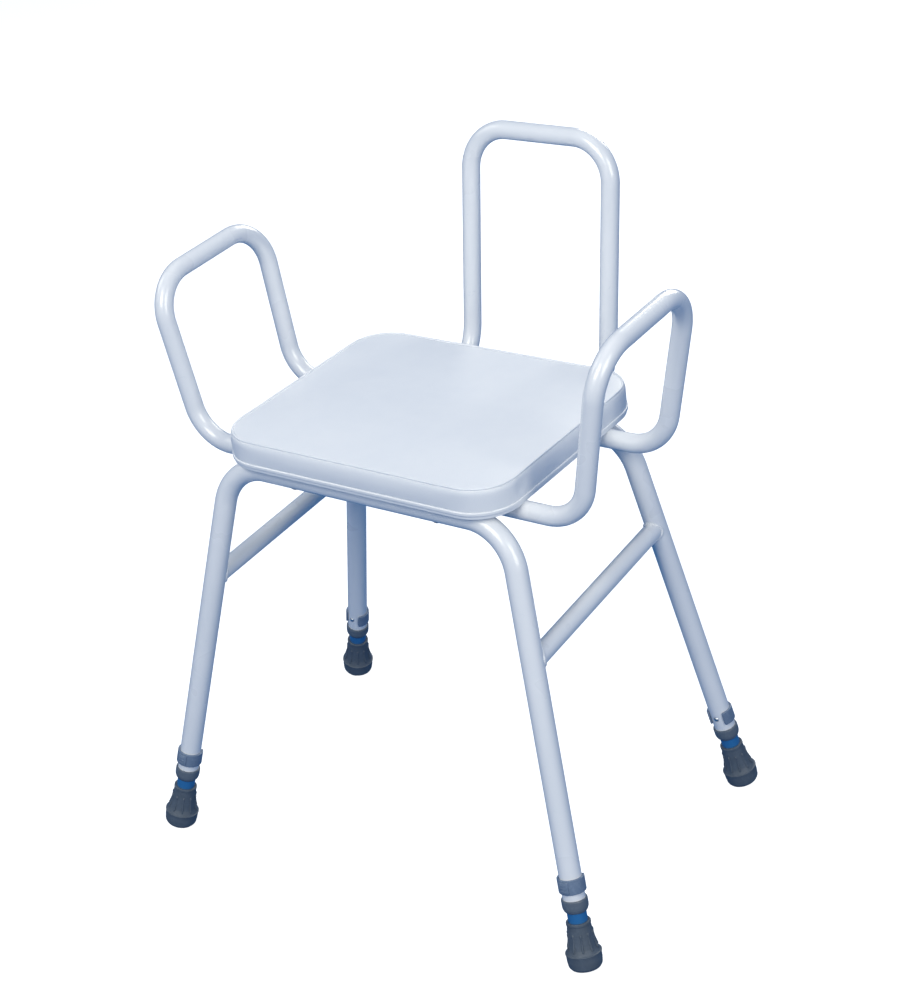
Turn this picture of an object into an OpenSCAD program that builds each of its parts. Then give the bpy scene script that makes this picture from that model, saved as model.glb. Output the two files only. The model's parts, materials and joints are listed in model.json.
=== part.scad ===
// Shower stool: two bent steel leg frames, side braces, a padded seat, two arm loops, a back loop
// and four legs that lengthen in steps. X runs across the stool (left of a sitter is +X), the
// front faces -Y, and Z = 0 is the floor.

/* [Seat] */
// Height of the top of the seat with the legs fully in
seat_height = 530; // [450:1:640]
// Width of the seat
seat_width = 378; // [315:1:460]
// Depth of the seat, front to back
seat_depth = 313; // [260:1:380]
// Radius of the seat's corners in plan
seat_corner = 50; // [30:1:80]
// Thickness of the vinyl cover
cover_thick = 1.2; // [1:0.1:2]
// Thickness of the foam
foam_thick = 24; // [15:1:45]
// Thickness of the plywood board
board_thick = 9; // [8:1:15]
// Height of the edge trim
trim_height = 4.5; // [3:0.5:6]
// How far the edge trim stands proud of the cover
trim_proud = 1.5; // [1:0.5:3]
// How far the edge trim sits above the underside of the board
trim_lift = 3; // [1:0.5:4]
// Diameter of the welt sewn round the seat's top edge
welt_dia = 2.4; // [1.6:0.1:3]

/* [Leg frames] */
// Outside diameter of the leg tube
leg_od = 25.4; // [22:0.1:32]
// Wall of the leg tube
leg_wall = 1.6; // [1.2:0.1:2]
// Bend radius of the leg tube, on its middle line
leg_bend = 62; // [45:1:75]
// How far the front bar sits behind the seat's front edge
front_bar_inset = 24; // [18:1:40]
// How far the rear bar sits in front of the seat's rear edge
rear_bar_inset = 49; // [35:1:60]
// How far each foot stands out sideways from its top corner
splay_side = 106.5; // [60:0.5:130]
// How far each front foot stands forward of the front bar
splay_front = 94.4; // [50:0.1:120]
// How far each rear foot stands behind the rear bar
splay_rear = 43; // [20:1:90]
// Outside diameter of the brace tubes
brace_od = 22; // [16:1:24]
// Wall of the brace tubes
brace_wall = 1.5; // [1:0.1:2]
// How far the front end of a brace sits below the front bar
brace_drop_front = 144; // [100:1:190]
// How far the rear end of a brace sits below the rear bar
brace_drop_rear = 126; // [100:1:190]

/* [Arms and back] */
// Outside diameter of the arm and back tubes
loop_od = 22; // [16:1:24]
// Wall of the arm and back tubes
loop_wall = 1.5; // [1:0.1:2]
// How far an arm's lower corner stands outside the seat
arm_foot_out = 69; // [55:1:90]
// How far an arm's top stands outside the seat
arm_top_out = 103; // [80:1:130]
// Height of an arm's front corner above the seat
arm_rise_front = 157; // [110:1:210]
// Height of an arm's rear corner above the seat
arm_rise_rear = 164; // [110:1:210]
// Gap between an arm's front foot and the front bar behind which it lies
arm_front_gap = 11.3; // [4:0.1:33]
// Gap between an arm's rear foot and the rear bar in front of which it lies
arm_rear_gap = 4.3; // [1:0.1:23]
// How far an arm's rear post leans back by its top
arm_rear_lean = 14; // [0:1:25]
// Bend radius of the arm loops
arm_bend = 50; // [35:1:55]
// How far each arm's tube ends reach in under the seat
arm_reach = 64; // [54:1:74]
// How far each arm's bolts sit in from the seat's side
arm_bolt_inset = 41; // [31:1:49]
// Half the distance between the back loop's uprights
back_half = 97; // [85:1:102]
// Height of the back loop's top corners above the seat
back_rise = 225; // [150:1:300]
// How far the back loop's lower corner sits behind the seat
back_behind = 71; // [66:1:90]
// How far the back loop leans back over its height
back_lean = 51; // [20:1:70]
// Bend radius at the foot of the back loop
back_foot_bend = 70; // [50:1:75]
// Bend radius at the top of the back loop
back_top_bend = 50; // [40:1:65]
// Length of the back loop's feet in front of the rear bar
back_foot_reach = 85; // [70:1:110]

/* [Leg extensions] */
// Wall of the sliding leg tube
slider_wall = 1.2; // [1:0.1:2]
// Distance between the height holes
hole_pitch = 25; // [15:1:30]
// Number of height holes in each sliding leg
hole_count = 7; // [3:1:7]
// Distance of the clip's pin from the sole, along the leg
pin_place = 99; // [90:1:110]
// Length of outer tube below the clip's pin
tube_below_pin = 29.5; // [22:0.5:32]
// Length of sliding tube above its top hole
slider_spare = 25; // [10:1:40]

/* [Collars, clips and ferrules] */
// Thickness of the plastic collar's wall round the outer tube
collar_wall = 2.1; // [1.3:0.1:4.3]
// Height of the plastic collar
collar_height = 15; // [10:1:20]
// Thickness of the collar's floor, under the outer tube's end
collar_floor = 2.5; // [2:0.5:4]
// Height of the leg clip
clip_height = 17; // [12:1:22]
// Thickness of the leg clip's band
clip_thick = 2.6; // [2:0.1:4]
// Angle of the gap in the leg clip's band
clip_gap = 76; // [50:1:100]
// Diameter of the clip's pin
pin_dia = 5.8; // [4:0.1:7]
// Length of the ferrule
ferrule_length = 55; // [45:1:62]
// Diameter of the ferrule's base
ferrule_base_dia = 41; // [36:1:50]
// Height of the ferrule's base
ferrule_base_height = 19; // [12:1:22]
// Thickness of rubber under the sliding tube's steel disc
ferrule_sole = 6; // [4:1:10]
// Height of the middle of the sole above the floor, where the tilted rubber has bedded flat
sole_lift = 2; // [1.5:0.1:3]

/* [Fasteners] */
// Diameter of the seat bolts
bolt_dia = 6; // [5:1:6]
// Diameter of the bolt heads
bolt_head_dia = 10.5; // [9:0.5:12]
// Height of the bolt heads
bolt_head_height = 3.3; // [2.5:0.1:5]
// Thickness of the wall of the tee nuts' barrels
nut_wall = 1; // [0.7:0.1:1.5]
// Diameter of the tee nuts' flanges
nut_flange_dia = 19; // [15:1:22]

/* [Fits] */
// Gap all round between a sliding tube and what guides it
slide_gap = 0.1; // [0.05:0.01:0.2]
// Gap all round between the clip's band and the leg tube
clip_fit = 0.1; // [0.05:0.01:0.3]
// Gap all round between a pin or a bolt and its hole
hole_gap = 0.3; // [0.2:0.05:0.4]
// Gap between the back loop's feet and the rear bar
foot_gap = 0.2; // [0.1:0.1:1]

/* [Hidden] */
$fn = 48;

// Where the middle of the seat lies, with the origin under the middle of the whole stool
seat_mid_y = -22.2;
seat_front = seat_mid_y - seat_depth / 2;
seat_rear = seat_mid_y + seat_depth / 2;
seat_half = seat_width / 2;

// Levels, from the seat's top downwards
foam_top = seat_height - cover_thick;
board_top = foam_top - foam_thick;
board_bottom = board_top - board_thick;
bar_z = board_bottom - leg_od / 2;
arm_z = board_bottom - loop_od / 2;
back_foot_z = bar_z - leg_od / 2 - foot_gap - loop_od / 2;
trim_z = board_bottom + trim_lift;

// Frame bars, from front to back
front_bar_y = seat_front + front_bar_inset;
rear_bar_y = seat_rear - rear_bar_inset;
arm_front_y = front_bar_y + leg_od / 2 + arm_front_gap + loop_od / 2;
arm_rear_y = rear_bar_y - leg_od / 2 - arm_rear_gap - loop_od / 2;
back_foot_y = rear_bar_y - back_foot_reach;
back_bolt_y = back_foot_y + 25;

// From side to side
arm_end_x = seat_half - arm_reach;
arm_bolt_x = seat_half - arm_bolt_inset;

// The four legs, as [name, side, end]
LEGS = [["front_left", 1, -1], ["front_right", -1, -1], ["rear_left", 1, 1], ["rear_right", -1, 1]];
SIDES = [["left", 1], ["right", -1]];
LEG_PIECES = ["leg_collar", "leg_tube", "ferrule", "ferrule_disc", "leg_clip", "clip_pin"];

// The leg tube's bore, and the sliding tube that runs in it
slider_bore = leg_od - 2 * leg_wall;
slider_od = slider_bore - 2 * slide_gap;

// Positions along a leg, measured up from the middle of the sole
tube_end = pin_place - tube_below_pin;
disc_thick = 2;
slider_bottom = ferrule_sole + disc_thick;
slider_top = pin_place + (hole_count - 1) * hole_pitch + slider_spare;
bore = 2 * hole_gap;
nut_barrel_dia = bolt_dia + 2 * nut_wall;

// Colours
enamel = [0.9, 0.93, 0.96];
vinyl = [0.86, 0.89, 0.93];
clip_grey = [0.42, 0.5, 0.6];
collar_grey = [0.33, 0.37, 0.41];
rubber_grey = [0.24, 0.28, 0.33];
steel = [0.62, 0.64, 0.66];
slider_blue = [0.16, 0.34, 0.6];

// ---- Geometry of bent tubes ----

function unit(v) = v / norm(v);
function turn(a, b) = acos(unit(a) * unit(b));

// A frame at o with its Z along z and its X as near to x as it can be
function frame_at(o, z, x) =
    let (zz = unit(z), yy = unit(cross(zz, x)), xx = cross(yy, zz))
    [[xx[0], yy[0], zz[0], o[0]], [xx[1], yy[1], zz[1], o[1]], [xx[2], yy[2], zz[2], o[2]], [0, 0, 0, 1]];
function aside(v) = abs(unit(v)[2]) > 0.9 ? [1, 0, 0] : [0, 0, 1];

module straight_bar(a, b, d) {
    multmatrix(frame_at(a, b - a, aside(b - a)))
        cylinder(d = d, h = norm(b - a));
}

// A bend of radius r that leaves point a in direction d0 and turns towards d1
module elbow(a, d0, d1, r, d) {
    inward = unit(unit(d1) - (unit(d1) * unit(d0)) * unit(d0));
    multmatrix(frame_at(a + r * inward, cross(-inward, unit(d0)), -inward))
        rotate_extrude(angle = turn(d0, d1))
            translate([r, 0])
                circle(d = d);
}

// The faint ring that the bending tool leaves where a bend meets a straight length
module bend_mark(at, along, d) {
    mark_long = 0.4;
    mark_high = 0.02;
    multmatrix(frame_at(at, along, aside(along)))
        cylinder(r = d / 2 + mark_high, h = mark_long, center = true);
}

// A bent bar through the points p, with bend radius r[i - 1] at the point p[i]
module bent_bar(p, r, d) {
    last = len(p) - 1;
    setback = [for (i = [0:last]) i == 0 || i == last ? 0
        : r[i - 1] * tan(turn(p[i] - p[i - 1], p[i + 1] - p[i]) / 2)];
    for (i = [1:last]) {
        along = unit(p[i] - p[i - 1]);
        straight_bar(p[i - 1] + along * setback[i - 1], p[i] - along * setback[i], d);
    }
    for (i = [1:last - 1]) {
        d0 = unit(p[i] - p[i - 1]);
        d1 = unit(p[i + 1] - p[i]);
        elbow(p[i] - d0 * setback[i], d0, d1, r[i - 1], d);
        bend_mark(p[i] - d0 * setback[i], d0, d);
        bend_mark(p[i] + d1 * setback[i], d1, d);
    }
}

// The same bar made a tube, open at both ends
module bent_tube(p, r, od, wall) {
    last = len(p) - 1;
    past_start = p[0] + unit(p[0] - p[1]);
    past_end = p[last] + unit(p[last] - p[last - 1]);
    difference() {
        bent_bar(p, r, od);
        bent_bar(concat([past_start], [for (i = [1:last - 1]) p[i]], [past_end]), r, od - 2 * wall);
    }
}

// ---- Places on the legs ----

function leg_corner(side, end) = [side * seat_half, end < 0 ? front_bar_y : rear_bar_y, bar_z];
function leg_floor(side, end) =
    [side * (seat_half + splay_side), end < 0 ? front_bar_y - splay_front : rear_bar_y + splay_rear, 0];
function leg_up(side, end) = unit(leg_corner(side, end) - leg_floor(side, end));
function sole_point(side, end) =
    let (up = leg_up(side, end)) leg_floor(side, end) + up * (sole_lift / up[2]);
function on_leg(side, end, s) = sole_point(side, end) + s * leg_up(side, end);
function at_height(side, end, z) = on_leg(side, end, (z - sole_lift) / leg_up(side, end)[2]);

// Local frame of a leg: Z up the leg from the sole, X the way the clip comes off
module at_leg(leg) {
    multmatrix(frame_at(sole_point(leg[1], leg[2]), leg_up(leg[1], leg[2]), [0, leg[2], 0]))
        children();
}

// A hole through both walls of a leg, along the clip's pin
module pin_hole(s) {
    translate([0, 0, s])
        rotate([0, 90, 0])
            cylinder(d = pin_dia + bore, h = 2 * leg_od, center = true);
}

// ---- Frame ----

// Places of the upright bolts through the frame, arms and back
BAR_BOLTS = [for (x = [-back_half, back_half]) [x, front_bar_y]];
ARM_BOLTS = [for (x = [-arm_bolt_x, arm_bolt_x], y = [arm_front_y, arm_rear_y]) [x, y]];
REAR_BOLTS = [for (x = [-back_half, back_half]) [x, rear_bar_y]];
FOOT_BOLTS = [for (x = [-back_half, back_half]) [x, back_bolt_y]];

module bolt_holes(places) {
    for (p = places)
        translate([p[0], p[1], back_foot_z - loop_od])
            cylinder(d = bolt_dia + bore, h = board_top - back_foot_z + loop_od);
}

module leg_frame(end, bolts) {
    color(enamel)
        difference() {
            bent_tube(
                [on_leg(-1, end, tube_end), leg_corner(-1, end), leg_corner(1, end), on_leg(1, end, tube_end)],
                [leg_bend, leg_bend], leg_od, leg_wall
            );
            for (side = [-1, 1]) at_leg(["", side, end]) pin_hole(pin_place);
            bolt_holes(bolts);
        }
}

module side_brace(side) {
    front = at_height(side, -1, bar_z - brace_drop_front);
    rear = at_height(side, 1, bar_z - brace_drop_rear);
    color(enamel)
        difference() {
            straight_bar(front, rear, brace_od);
            straight_bar(front, rear, brace_od - 2 * brace_wall);
            for (end = [-1, 1])
                straight_bar(on_leg(side, end, tube_end), leg_corner(side, end), leg_od);
        }
}

// ---- Arms and back ----

function arm_points(side) = [
    [side * arm_end_x, arm_front_y, arm_z],
    [side * (seat_half + arm_foot_out), arm_front_y, arm_z],
    [side * (seat_half + arm_top_out), arm_front_y, seat_height + arm_rise_front - loop_od / 2],
    [side * (seat_half + arm_top_out), arm_rear_y + arm_rear_lean, seat_height + arm_rise_rear - loop_od / 2],
    [side * (seat_half + arm_foot_out), arm_rear_y, arm_z],
    [side * arm_end_x, arm_rear_y, arm_z]
];

module arm(side) {
    color(enamel)
        difference() {
            bent_tube(arm_points(side), [for (i = [1:4]) arm_bend], loop_od, loop_wall);
            bolt_holes(ARM_BOLTS);
        }
}

function back_side(x) = [
    [x, back_foot_y, back_foot_z],
    [x, seat_rear + back_behind, back_foot_z],
    [x, seat_rear + back_behind + back_lean, seat_height + back_rise]
];

module back_loop() {
    a = back_side(-back_half);
    b = back_side(back_half);
    color(enamel)
        difference() {
            bent_tube(
                [a[0], a[1], a[2], b[2], b[1], b[0]],
                [back_foot_bend, back_top_bend, back_top_bend, back_foot_bend], loop_od, loop_wall
            );
            bolt_holes(concat(REAR_BOLTS, FOOT_BOLTS));
        }
}

// A push-in cap for an open tube end at p, whose outside faces direction d
module tube_plug(p, d) {
    plug_length = 12;
    cap_thick = 1.8;
    multmatrix(frame_at(p, d, [0, 0, 1])) {
        cylinder(d = loop_od, h = cap_thick);
        translate([0, 0, -plug_length])
            cylinder(d = loop_od - 2 * loop_wall, h = plug_length);
    }
}

module tube_plugs() {
    color(collar_grey) {
        for (side = [-1, 1], y = [arm_front_y, arm_rear_y])
            tube_plug([side * arm_end_x, y, arm_z], [-side, 0, 0]);
        for (x = [-back_half, back_half])
            tube_plug([x, back_foot_y, back_foot_z], [0, -1, 0]);
    }
}

// ---- Seat ----

// The seat's outline in plan, moved in by inset
function seat_outline(inset) =
    let (steps = 8, r = seat_corner - inset, x = seat_half - seat_corner, y = seat_depth / 2 - seat_corner)
    [for (q = [[x, y, 0], [-x, y, 90], [-x, -y, 180], [x, -y, 270]], i = [0:steps])
        let (a = q[2] + i * 90 / steps) [q[0] + r * cos(a), seat_mid_y + q[1] + r * sin(a)]];

module seat_slab(inset, low, high) {
    translate([0, 0, low])
        linear_extrude(high - low)
            polygon(seat_outline(inset));
}

nut_flange_thick = 1.3;

module seat_board() {
    color([0.78, 0.64, 0.45])
        difference() {
            seat_slab(cover_thick, board_bottom, board_top);
            for (p = concat(BAR_BOLTS, ARM_BOLTS, REAR_BOLTS, FOOT_BOLTS))
                translate([p[0], p[1], board_bottom - 1]) {
                    cylinder(d = nut_barrel_dia, h = board_thick + 2);
                    translate([0, 0, 1 + board_thick - nut_flange_thick])
                        cylinder(d = nut_flange_dia, h = nut_flange_thick + 1);
                }
        }
}

module seat_foam() {
    color([0.93, 0.88, 0.68]) seat_slab(cover_thick, board_top, foam_top);
}

module seat_cover() {
    color(vinyl)
        difference() {
            seat_slab(0, trim_z + trim_height, seat_height);
            seat_slab(cover_thick, trim_z, foam_top);
            welt_ring();
        }
}

// The welt's middle line is the cover's top edge
module welt_ring() {
    x = seat_half;
    y = seat_depth / 2;
    ring = [[0, -y, 0], [x, -y, 0], [x, y, 0], [-x, y, 0], [-x, -y, 0], [0, -y, 0]];
    translate([0, seat_mid_y, seat_height])
        bent_bar(ring, [for (i = [1:4]) seat_corner], welt_dia);
}

module seat_welt() {
    color(vinyl) welt_ring();
}

module seat_edge_trim() {
    color(enamel)
        difference() {
            seat_slab(-trim_proud, trim_z, trim_z + trim_height);
            seat_slab(cover_thick, trim_z - 1, trim_z + trim_height + 1);
        }
}

// ---- Fasteners ----

// A button-head bolt that stands on its head's bearing face at z = low
module bolt(p, low) {
    socket_across = 4;
    translate([p[0], p[1], low]) {
        cylinder(d = bolt_dia, h = board_top - nut_flange_thick - low);
        difference() {
            translate([0, 0, -bolt_head_height])
                cylinder(d1 = bolt_head_dia - 3, d2 = bolt_head_dia, h = bolt_head_height);
            translate([0, 0, -bolt_head_height - 1])
                cylinder(d = socket_across, h = bolt_head_height, $fn = 6);
        }
    }
}

module seat_bolts() {
    color(steel) {
        for (p = BAR_BOLTS) bolt(p, bar_z - leg_od / 2);
        for (p = ARM_BOLTS) bolt(p, arm_z - loop_od / 2);
    }
}

module back_bolts() {
    color(steel)
        for (p = concat(REAR_BOLTS, FOOT_BOLTS)) bolt(p, back_foot_z - loop_od / 2);
}

module tee_nuts() {
    color(steel)
        for (p = concat(BAR_BOLTS, ARM_BOLTS, REAR_BOLTS, FOOT_BOLTS))
            translate([p[0], p[1], 0])
                difference() {
                    union() {
                        translate([0, 0, board_bottom + 1])
                            cylinder(d = nut_barrel_dia, h = board_thick - 1);
                        translate([0, 0, board_top - nut_flange_thick])
                            cylinder(d = nut_flange_dia, h = nut_flange_thick);
                    }
                    translate([0, 0, board_bottom])
                        cylinder(d = bolt_dia, h = board_thick + 1);
                }
}

module back_spacers() {
    spacer_dia = 12;
    low = back_foot_z + loop_od / 2;
    color(collar_grey)
        for (p = FOOT_BOLTS)
            translate([p[0], p[1], low])
                difference() {
                    cylinder(d = spacer_dia, h = board_bottom - low);
                    translate([0, 0, -1])
                        cylinder(d = bolt_dia + bore, h = board_bottom - low + 2);
                }
}

// ---- Leg pieces ----

// A plastic cup on the outer tube's end that guides the sliding tube
module leg_collar(leg) {
    low = tube_end - collar_floor;
    top = low + collar_height;
    r = leg_od / 2 + collar_wall;
    guide = slider_bore / 2;
    profile = [
        [guide, low], [guide + 1.1, low], [r - 1.3, low + 1.8], [r - 0.3, low + 4.4], [r, low + 7],
        [r, top - 1.4], [r - 0.5, top], [leg_od / 2, top], [leg_od / 2, tube_end], [guide, tube_end]
    ];
    color(collar_grey)
        at_leg(leg)
            rotate_extrude()
                polygon(profile);
}

module leg_tube(leg) {
    color(slider_blue)
        at_leg(leg)
            difference() {
                translate([0, 0, slider_bottom])
                    cylinder(d = slider_od, h = slider_top - slider_bottom);
                translate([0, 0, slider_bottom - 1])
                    cylinder(d = slider_od - 2 * slider_wall, h = slider_top - slider_bottom + 2);
                for (i = [0:hole_count - 1]) pin_hole(pin_place + i * hole_pitch);
            }
}

// The rubber's outline from the sole's edge up to the rim at the top of the neck
module ferrule_profile() {
    base = ferrule_base_dia / 2;
    neck = slider_od / 2 + 2.4;
    step = ferrule_base_height;
    top = ferrule_length;
    polygon([
        [0, 0], [base - 6, 0], [base - 3.2, 1.1], [base - 1, 4], [base - 0.1, 8], [base, step - 1],
        [base - 0.5, step], [base - 1, step], [base - 1, step + 0.9], [base - 2.2, step + 2.6],
        [base - 4, step + 6], [base - 4.9, step + 10.5], [neck, top - 3.4], [neck + 0.5, top - 3],
        [neck + 0.5, top - 0.6], [neck, top], [slider_od / 2, top], [slider_od / 2, ferrule_sole],
        [0, ferrule_sole]
    ]);
}

// One upright rib on the ferrule's neck
module ferrule_rib() {
    low = ferrule_base_height + 3;
    high = ferrule_length - 11;
    inner = slider_od / 2 + 1;
    polygon([
        [inner, low], [ferrule_base_dia / 2 - 1.6, low], [ferrule_base_dia / 2 - 4, low + 8],
        [slider_od / 2 + 4.1, high - 1], [slider_od / 2 + 3.4, high], [inner, high]
    ]);
}

module ferrule(leg) {
    rib_count = 10;
    rib_angle = 6;
    floor_size = 4 * ferrule_base_dia;
    color(rubber_grey)
        difference() {
            at_leg(leg) {
                rotate_extrude()
                    ferrule_profile();
                for (i = [0:rib_count - 1])
                    rotate([0, 0, i * 360 / rib_count])
                        rotate_extrude(angle = rib_angle)
                            ferrule_rib();
            }
            translate(leg_floor(leg[1], leg[2]) - [floor_size / 2, floor_size / 2, floor_size])
                cube(floor_size);
        }
}

module ferrule_disc(leg) {
    color(steel)
        at_leg(leg)
            translate([0, 0, ferrule_sole])
                cylinder(d = slider_od, h = disc_thick);
}

// The spring band of the clip, with a thick spine that holds the pin
module leg_clip(leg) {
    inner = leg_od / 2 + clip_fit;
    outer = inner + clip_thick;
    edge = 0.6;
    half = clip_height / 2;
    spine_wide = 12;
    spine_thick = 1.4;
    rib_high = 1.2;
    color(clip_grey)
        at_leg(leg)
            translate([0, 0, pin_place])
                difference() {
                    union() {
                        rotate([0, 0, clip_gap / 2 - 180])
                            rotate_extrude(angle = 360 - clip_gap)
                                polygon([
                                    [inner, -half], [outer - edge, -half], [outer, -half + edge],
                                    [outer, half - edge], [outer - edge, half], [inner, half]
                                ]);
                        intersection() {
                            translate([inner + 1, -spine_wide / 2, -half + 2])
                                cube([outer + spine_thick - inner - 1, spine_wide, clip_height - 4]);
                            cylinder(r = outer + spine_thick, h = clip_height, center = true);
                        }
                        for (z = [-3.5, 3.5])
                            translate([inner + 1, -spine_wide / 2 + 2, z - rib_high / 2])
                                cube([outer + spine_thick + 0.5 - inner - 1, spine_wide - 4, rib_high]);
                    }
                    rotate([0, 90, 0])
                        cylinder(d = pin_dia, h = outer - 0.5);
                }
}

// The pin starts inside the clip's spine and stands a little proud of the far side of the leg
module clip_pin(leg) {
    near = leg_od / 2 + clip_fit + clip_thick - 0.5;
    far = leg_od / 2 + 1;
    nose = 1.5;
    color(steel)
        at_leg(leg)
            translate([near, 0, pin_place])
                rotate([0, -90, 0]) {
                    cylinder(d = pin_dia, h = near + far - nose);
                    translate([0, 0, near + far - nose])
                        cylinder(d1 = pin_dia, d2 = pin_dia - 2, h = nose);
                }
}

leg_frame(-1, BAR_BOLTS);  // front_leg_frame
leg_frame(1, REAR_BOLTS);  // rear_leg_frame
for (s = SIDES) {
    side_brace(s[1]);
    arm(s[1]);
}
back_loop();
tube_plugs();
seat_board();
seat_foam();
seat_cover();
seat_welt();
seat_edge_trim();
seat_bolts();
back_bolts();
tee_nuts();
back_spacers();
for (leg = LEGS) {
    leg_collar(leg);
    leg_tube(leg);
    ferrule(leg);
    ferrule_disc(leg);
    leg_clip(leg);
    clip_pin(leg);
}
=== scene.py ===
"""Visual model of a height-adjustable shower stool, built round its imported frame.

The stool is powder-coated steel tube with a padded vinyl seat. Each leg has a sliding inner
tube, a plastic collar, a spring clip with a steel pin, and a ribbed rubber ferrule. Lengths
are in metres; a number of millimetres is multiplied by MM.
"""

import json
import logging
import math
from dataclasses import dataclass
from enum import Enum

import bmesh
import bpy
from mathutils import Matrix, Vector, noise

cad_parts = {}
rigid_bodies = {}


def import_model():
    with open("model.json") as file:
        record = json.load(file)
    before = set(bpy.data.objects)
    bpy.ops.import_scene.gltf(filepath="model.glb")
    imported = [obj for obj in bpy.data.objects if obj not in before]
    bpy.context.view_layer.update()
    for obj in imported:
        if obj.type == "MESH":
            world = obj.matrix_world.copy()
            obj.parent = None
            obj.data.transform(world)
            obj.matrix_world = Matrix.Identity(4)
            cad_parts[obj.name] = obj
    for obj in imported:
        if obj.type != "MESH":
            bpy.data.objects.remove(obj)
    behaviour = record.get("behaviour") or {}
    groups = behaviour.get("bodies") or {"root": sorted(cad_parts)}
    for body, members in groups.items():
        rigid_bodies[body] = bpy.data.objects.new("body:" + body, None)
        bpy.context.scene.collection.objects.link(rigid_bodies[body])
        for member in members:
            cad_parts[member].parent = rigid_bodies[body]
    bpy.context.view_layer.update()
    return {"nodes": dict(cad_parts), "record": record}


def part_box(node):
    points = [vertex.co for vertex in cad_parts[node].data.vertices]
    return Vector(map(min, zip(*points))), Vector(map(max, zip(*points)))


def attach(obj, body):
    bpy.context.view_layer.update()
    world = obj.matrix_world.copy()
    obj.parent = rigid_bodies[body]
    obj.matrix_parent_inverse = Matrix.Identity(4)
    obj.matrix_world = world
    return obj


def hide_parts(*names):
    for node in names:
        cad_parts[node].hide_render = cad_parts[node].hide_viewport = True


for left_over in list(bpy.data.objects):
    bpy.data.objects.remove(left_over)
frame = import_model()

MM = 0.001
LOG = logging.getLogger("stool")


# ---------------------------------------------------------------- nodes and materials


def add_node(tree: bpy.types.NodeTree, kind: str, inputs: dict | None = None, **settings) -> bpy.types.Node:
    """Adds a node with its settings and links.

    Args:
        tree: the shader or geometry tree that the node goes into.
        kind: the node's type.
        inputs: socket name or number to a value, or to the output socket that feeds it.
        settings: the node's own properties.

    Returns:
        The new node.
    """
    made = tree.nodes.new(kind)
    for name, value in settings.items():
        setattr(made, name, value)
    for key, value in (inputs or {}).items():
        if isinstance(value, bpy.types.NodeSocket):
            tree.links.new(value, made.inputs[key])
        else:
            made.inputs[key].default_value = value
    return made


def linear(hex_colour: str) -> tuple[float, float, float, float]:
    """Turns an sRGB hex colour such as "#E3E9F0" into linear RGBA.

    Args:
        hex_colour: the colour, with its leading #.

    Returns:
        Linear red, green, blue and an alpha of 1.
    """
    parts = [int(hex_colour[i : i + 2], 16) / 255 for i in (1, 3, 5)]
    red, green, blue = (c / 12.92 if c <= 0.04045 else ((c + 0.055) / 1.055) ** 2.4 for c in parts)
    return red, green, blue, 1.0


def per_size(size_mm: float) -> float:
    """The scale of a texture on metres whose features are size_mm millimetres across."""
    return 1.0 / (size_mm * MM)


@dataclass(frozen=True)
class Finish:
    """A finish: a base colour that drifts to a second one, and how the surface shines.

    Each subclass adds the pattern of its own real material.
    """

    name: str
    colour: str
    drift_colour: str
    roughness: float
    drift_mm: float = 60.0
    drift_share: float = 0.5
    roughness_spread: float = 0.06
    metallic: float = 0.0
    ior: float = 1.5
    coat: float = 0.0
    coat_roughness: float = 0.1
    sheen: float = 0.0

    def build(self) -> bpy.types.Material:
        """Makes the material.

        Returns:
            The material, with its pattern on Object coordinates.
        """
        material = bpy.data.materials.new(self.name)
        material.use_nodes = True
        tree = material.node_tree
        shader = tree.nodes["Principled BSDF"]
        shader.inputs["Metallic"].default_value = self.metallic
        shader.inputs["IOR"].default_value = self.ior
        shader.inputs["Coat Weight"].default_value = self.coat
        shader.inputs["Coat Roughness"].default_value = self.coat_roughness
        shader.inputs["Sheen Weight"].default_value = self.sheen
        place = add_node(tree, "ShaderNodeTexCoord").outputs["Object"]
        drift = add_node(
            tree,
            "ShaderNodeTexNoise",
            {"Vector": place, "Scale": per_size(self.drift_mm), "Detail": 3.0, "Roughness": 0.55},
        ).outputs["Fac"]
        share = add_node(
            tree,
            "ShaderNodeMapRange",
            {"Value": drift, "From Min": 0.35, "From Max": 0.65, "To Max": self.drift_share},
        ).outputs["Result"]
        colour = add_node(
            tree,
            "ShaderNodeMix",
            {0: share, 6: linear(self.colour), 7: linear(self.drift_colour)},
            data_type="RGBA",
        ).outputs[2]
        shine = add_node(
            tree,
            "ShaderNodeMapRange",
            {
                "Value": drift,
                "From Min": 0.3,
                "From Max": 0.7,
                "To Min": max(0.02, self.roughness - self.roughness_spread),
                "To Max": self.roughness + self.roughness_spread,
            },
        ).outputs["Result"]
        colour, shine, height, depth = self.pattern(tree, place, colour, shine)
        tree.links.new(colour, shader.inputs["Base Color"])
        tree.links.new(shine, shader.inputs["Roughness"])
        bump = add_node(tree, "ShaderNodeBump", {"Height": height, "Distance": depth, "Strength": 1.0})
        tree.links.new(bump.outputs["Normal"], shader.inputs["Normal"])
        return material

    def pattern(
        self,
        tree: bpy.types.NodeTree,
        place: bpy.types.NodeSocket,
        colour: bpy.types.NodeSocket,
        shine: bpy.types.NodeSocket,
    ) -> tuple[bpy.types.NodeSocket, bpy.types.NodeSocket, bpy.types.NodeSocket, float]:
        """Adds the material's own pattern.

        Args:
            tree: the material's tree.
            place: Object coordinates.
            colour: the colour so far.
            shine: the roughness so far.

        Returns:
            Colour, roughness, the bump's height and the bump's depth in metres.
        """
        raise NotImplementedError


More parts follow.
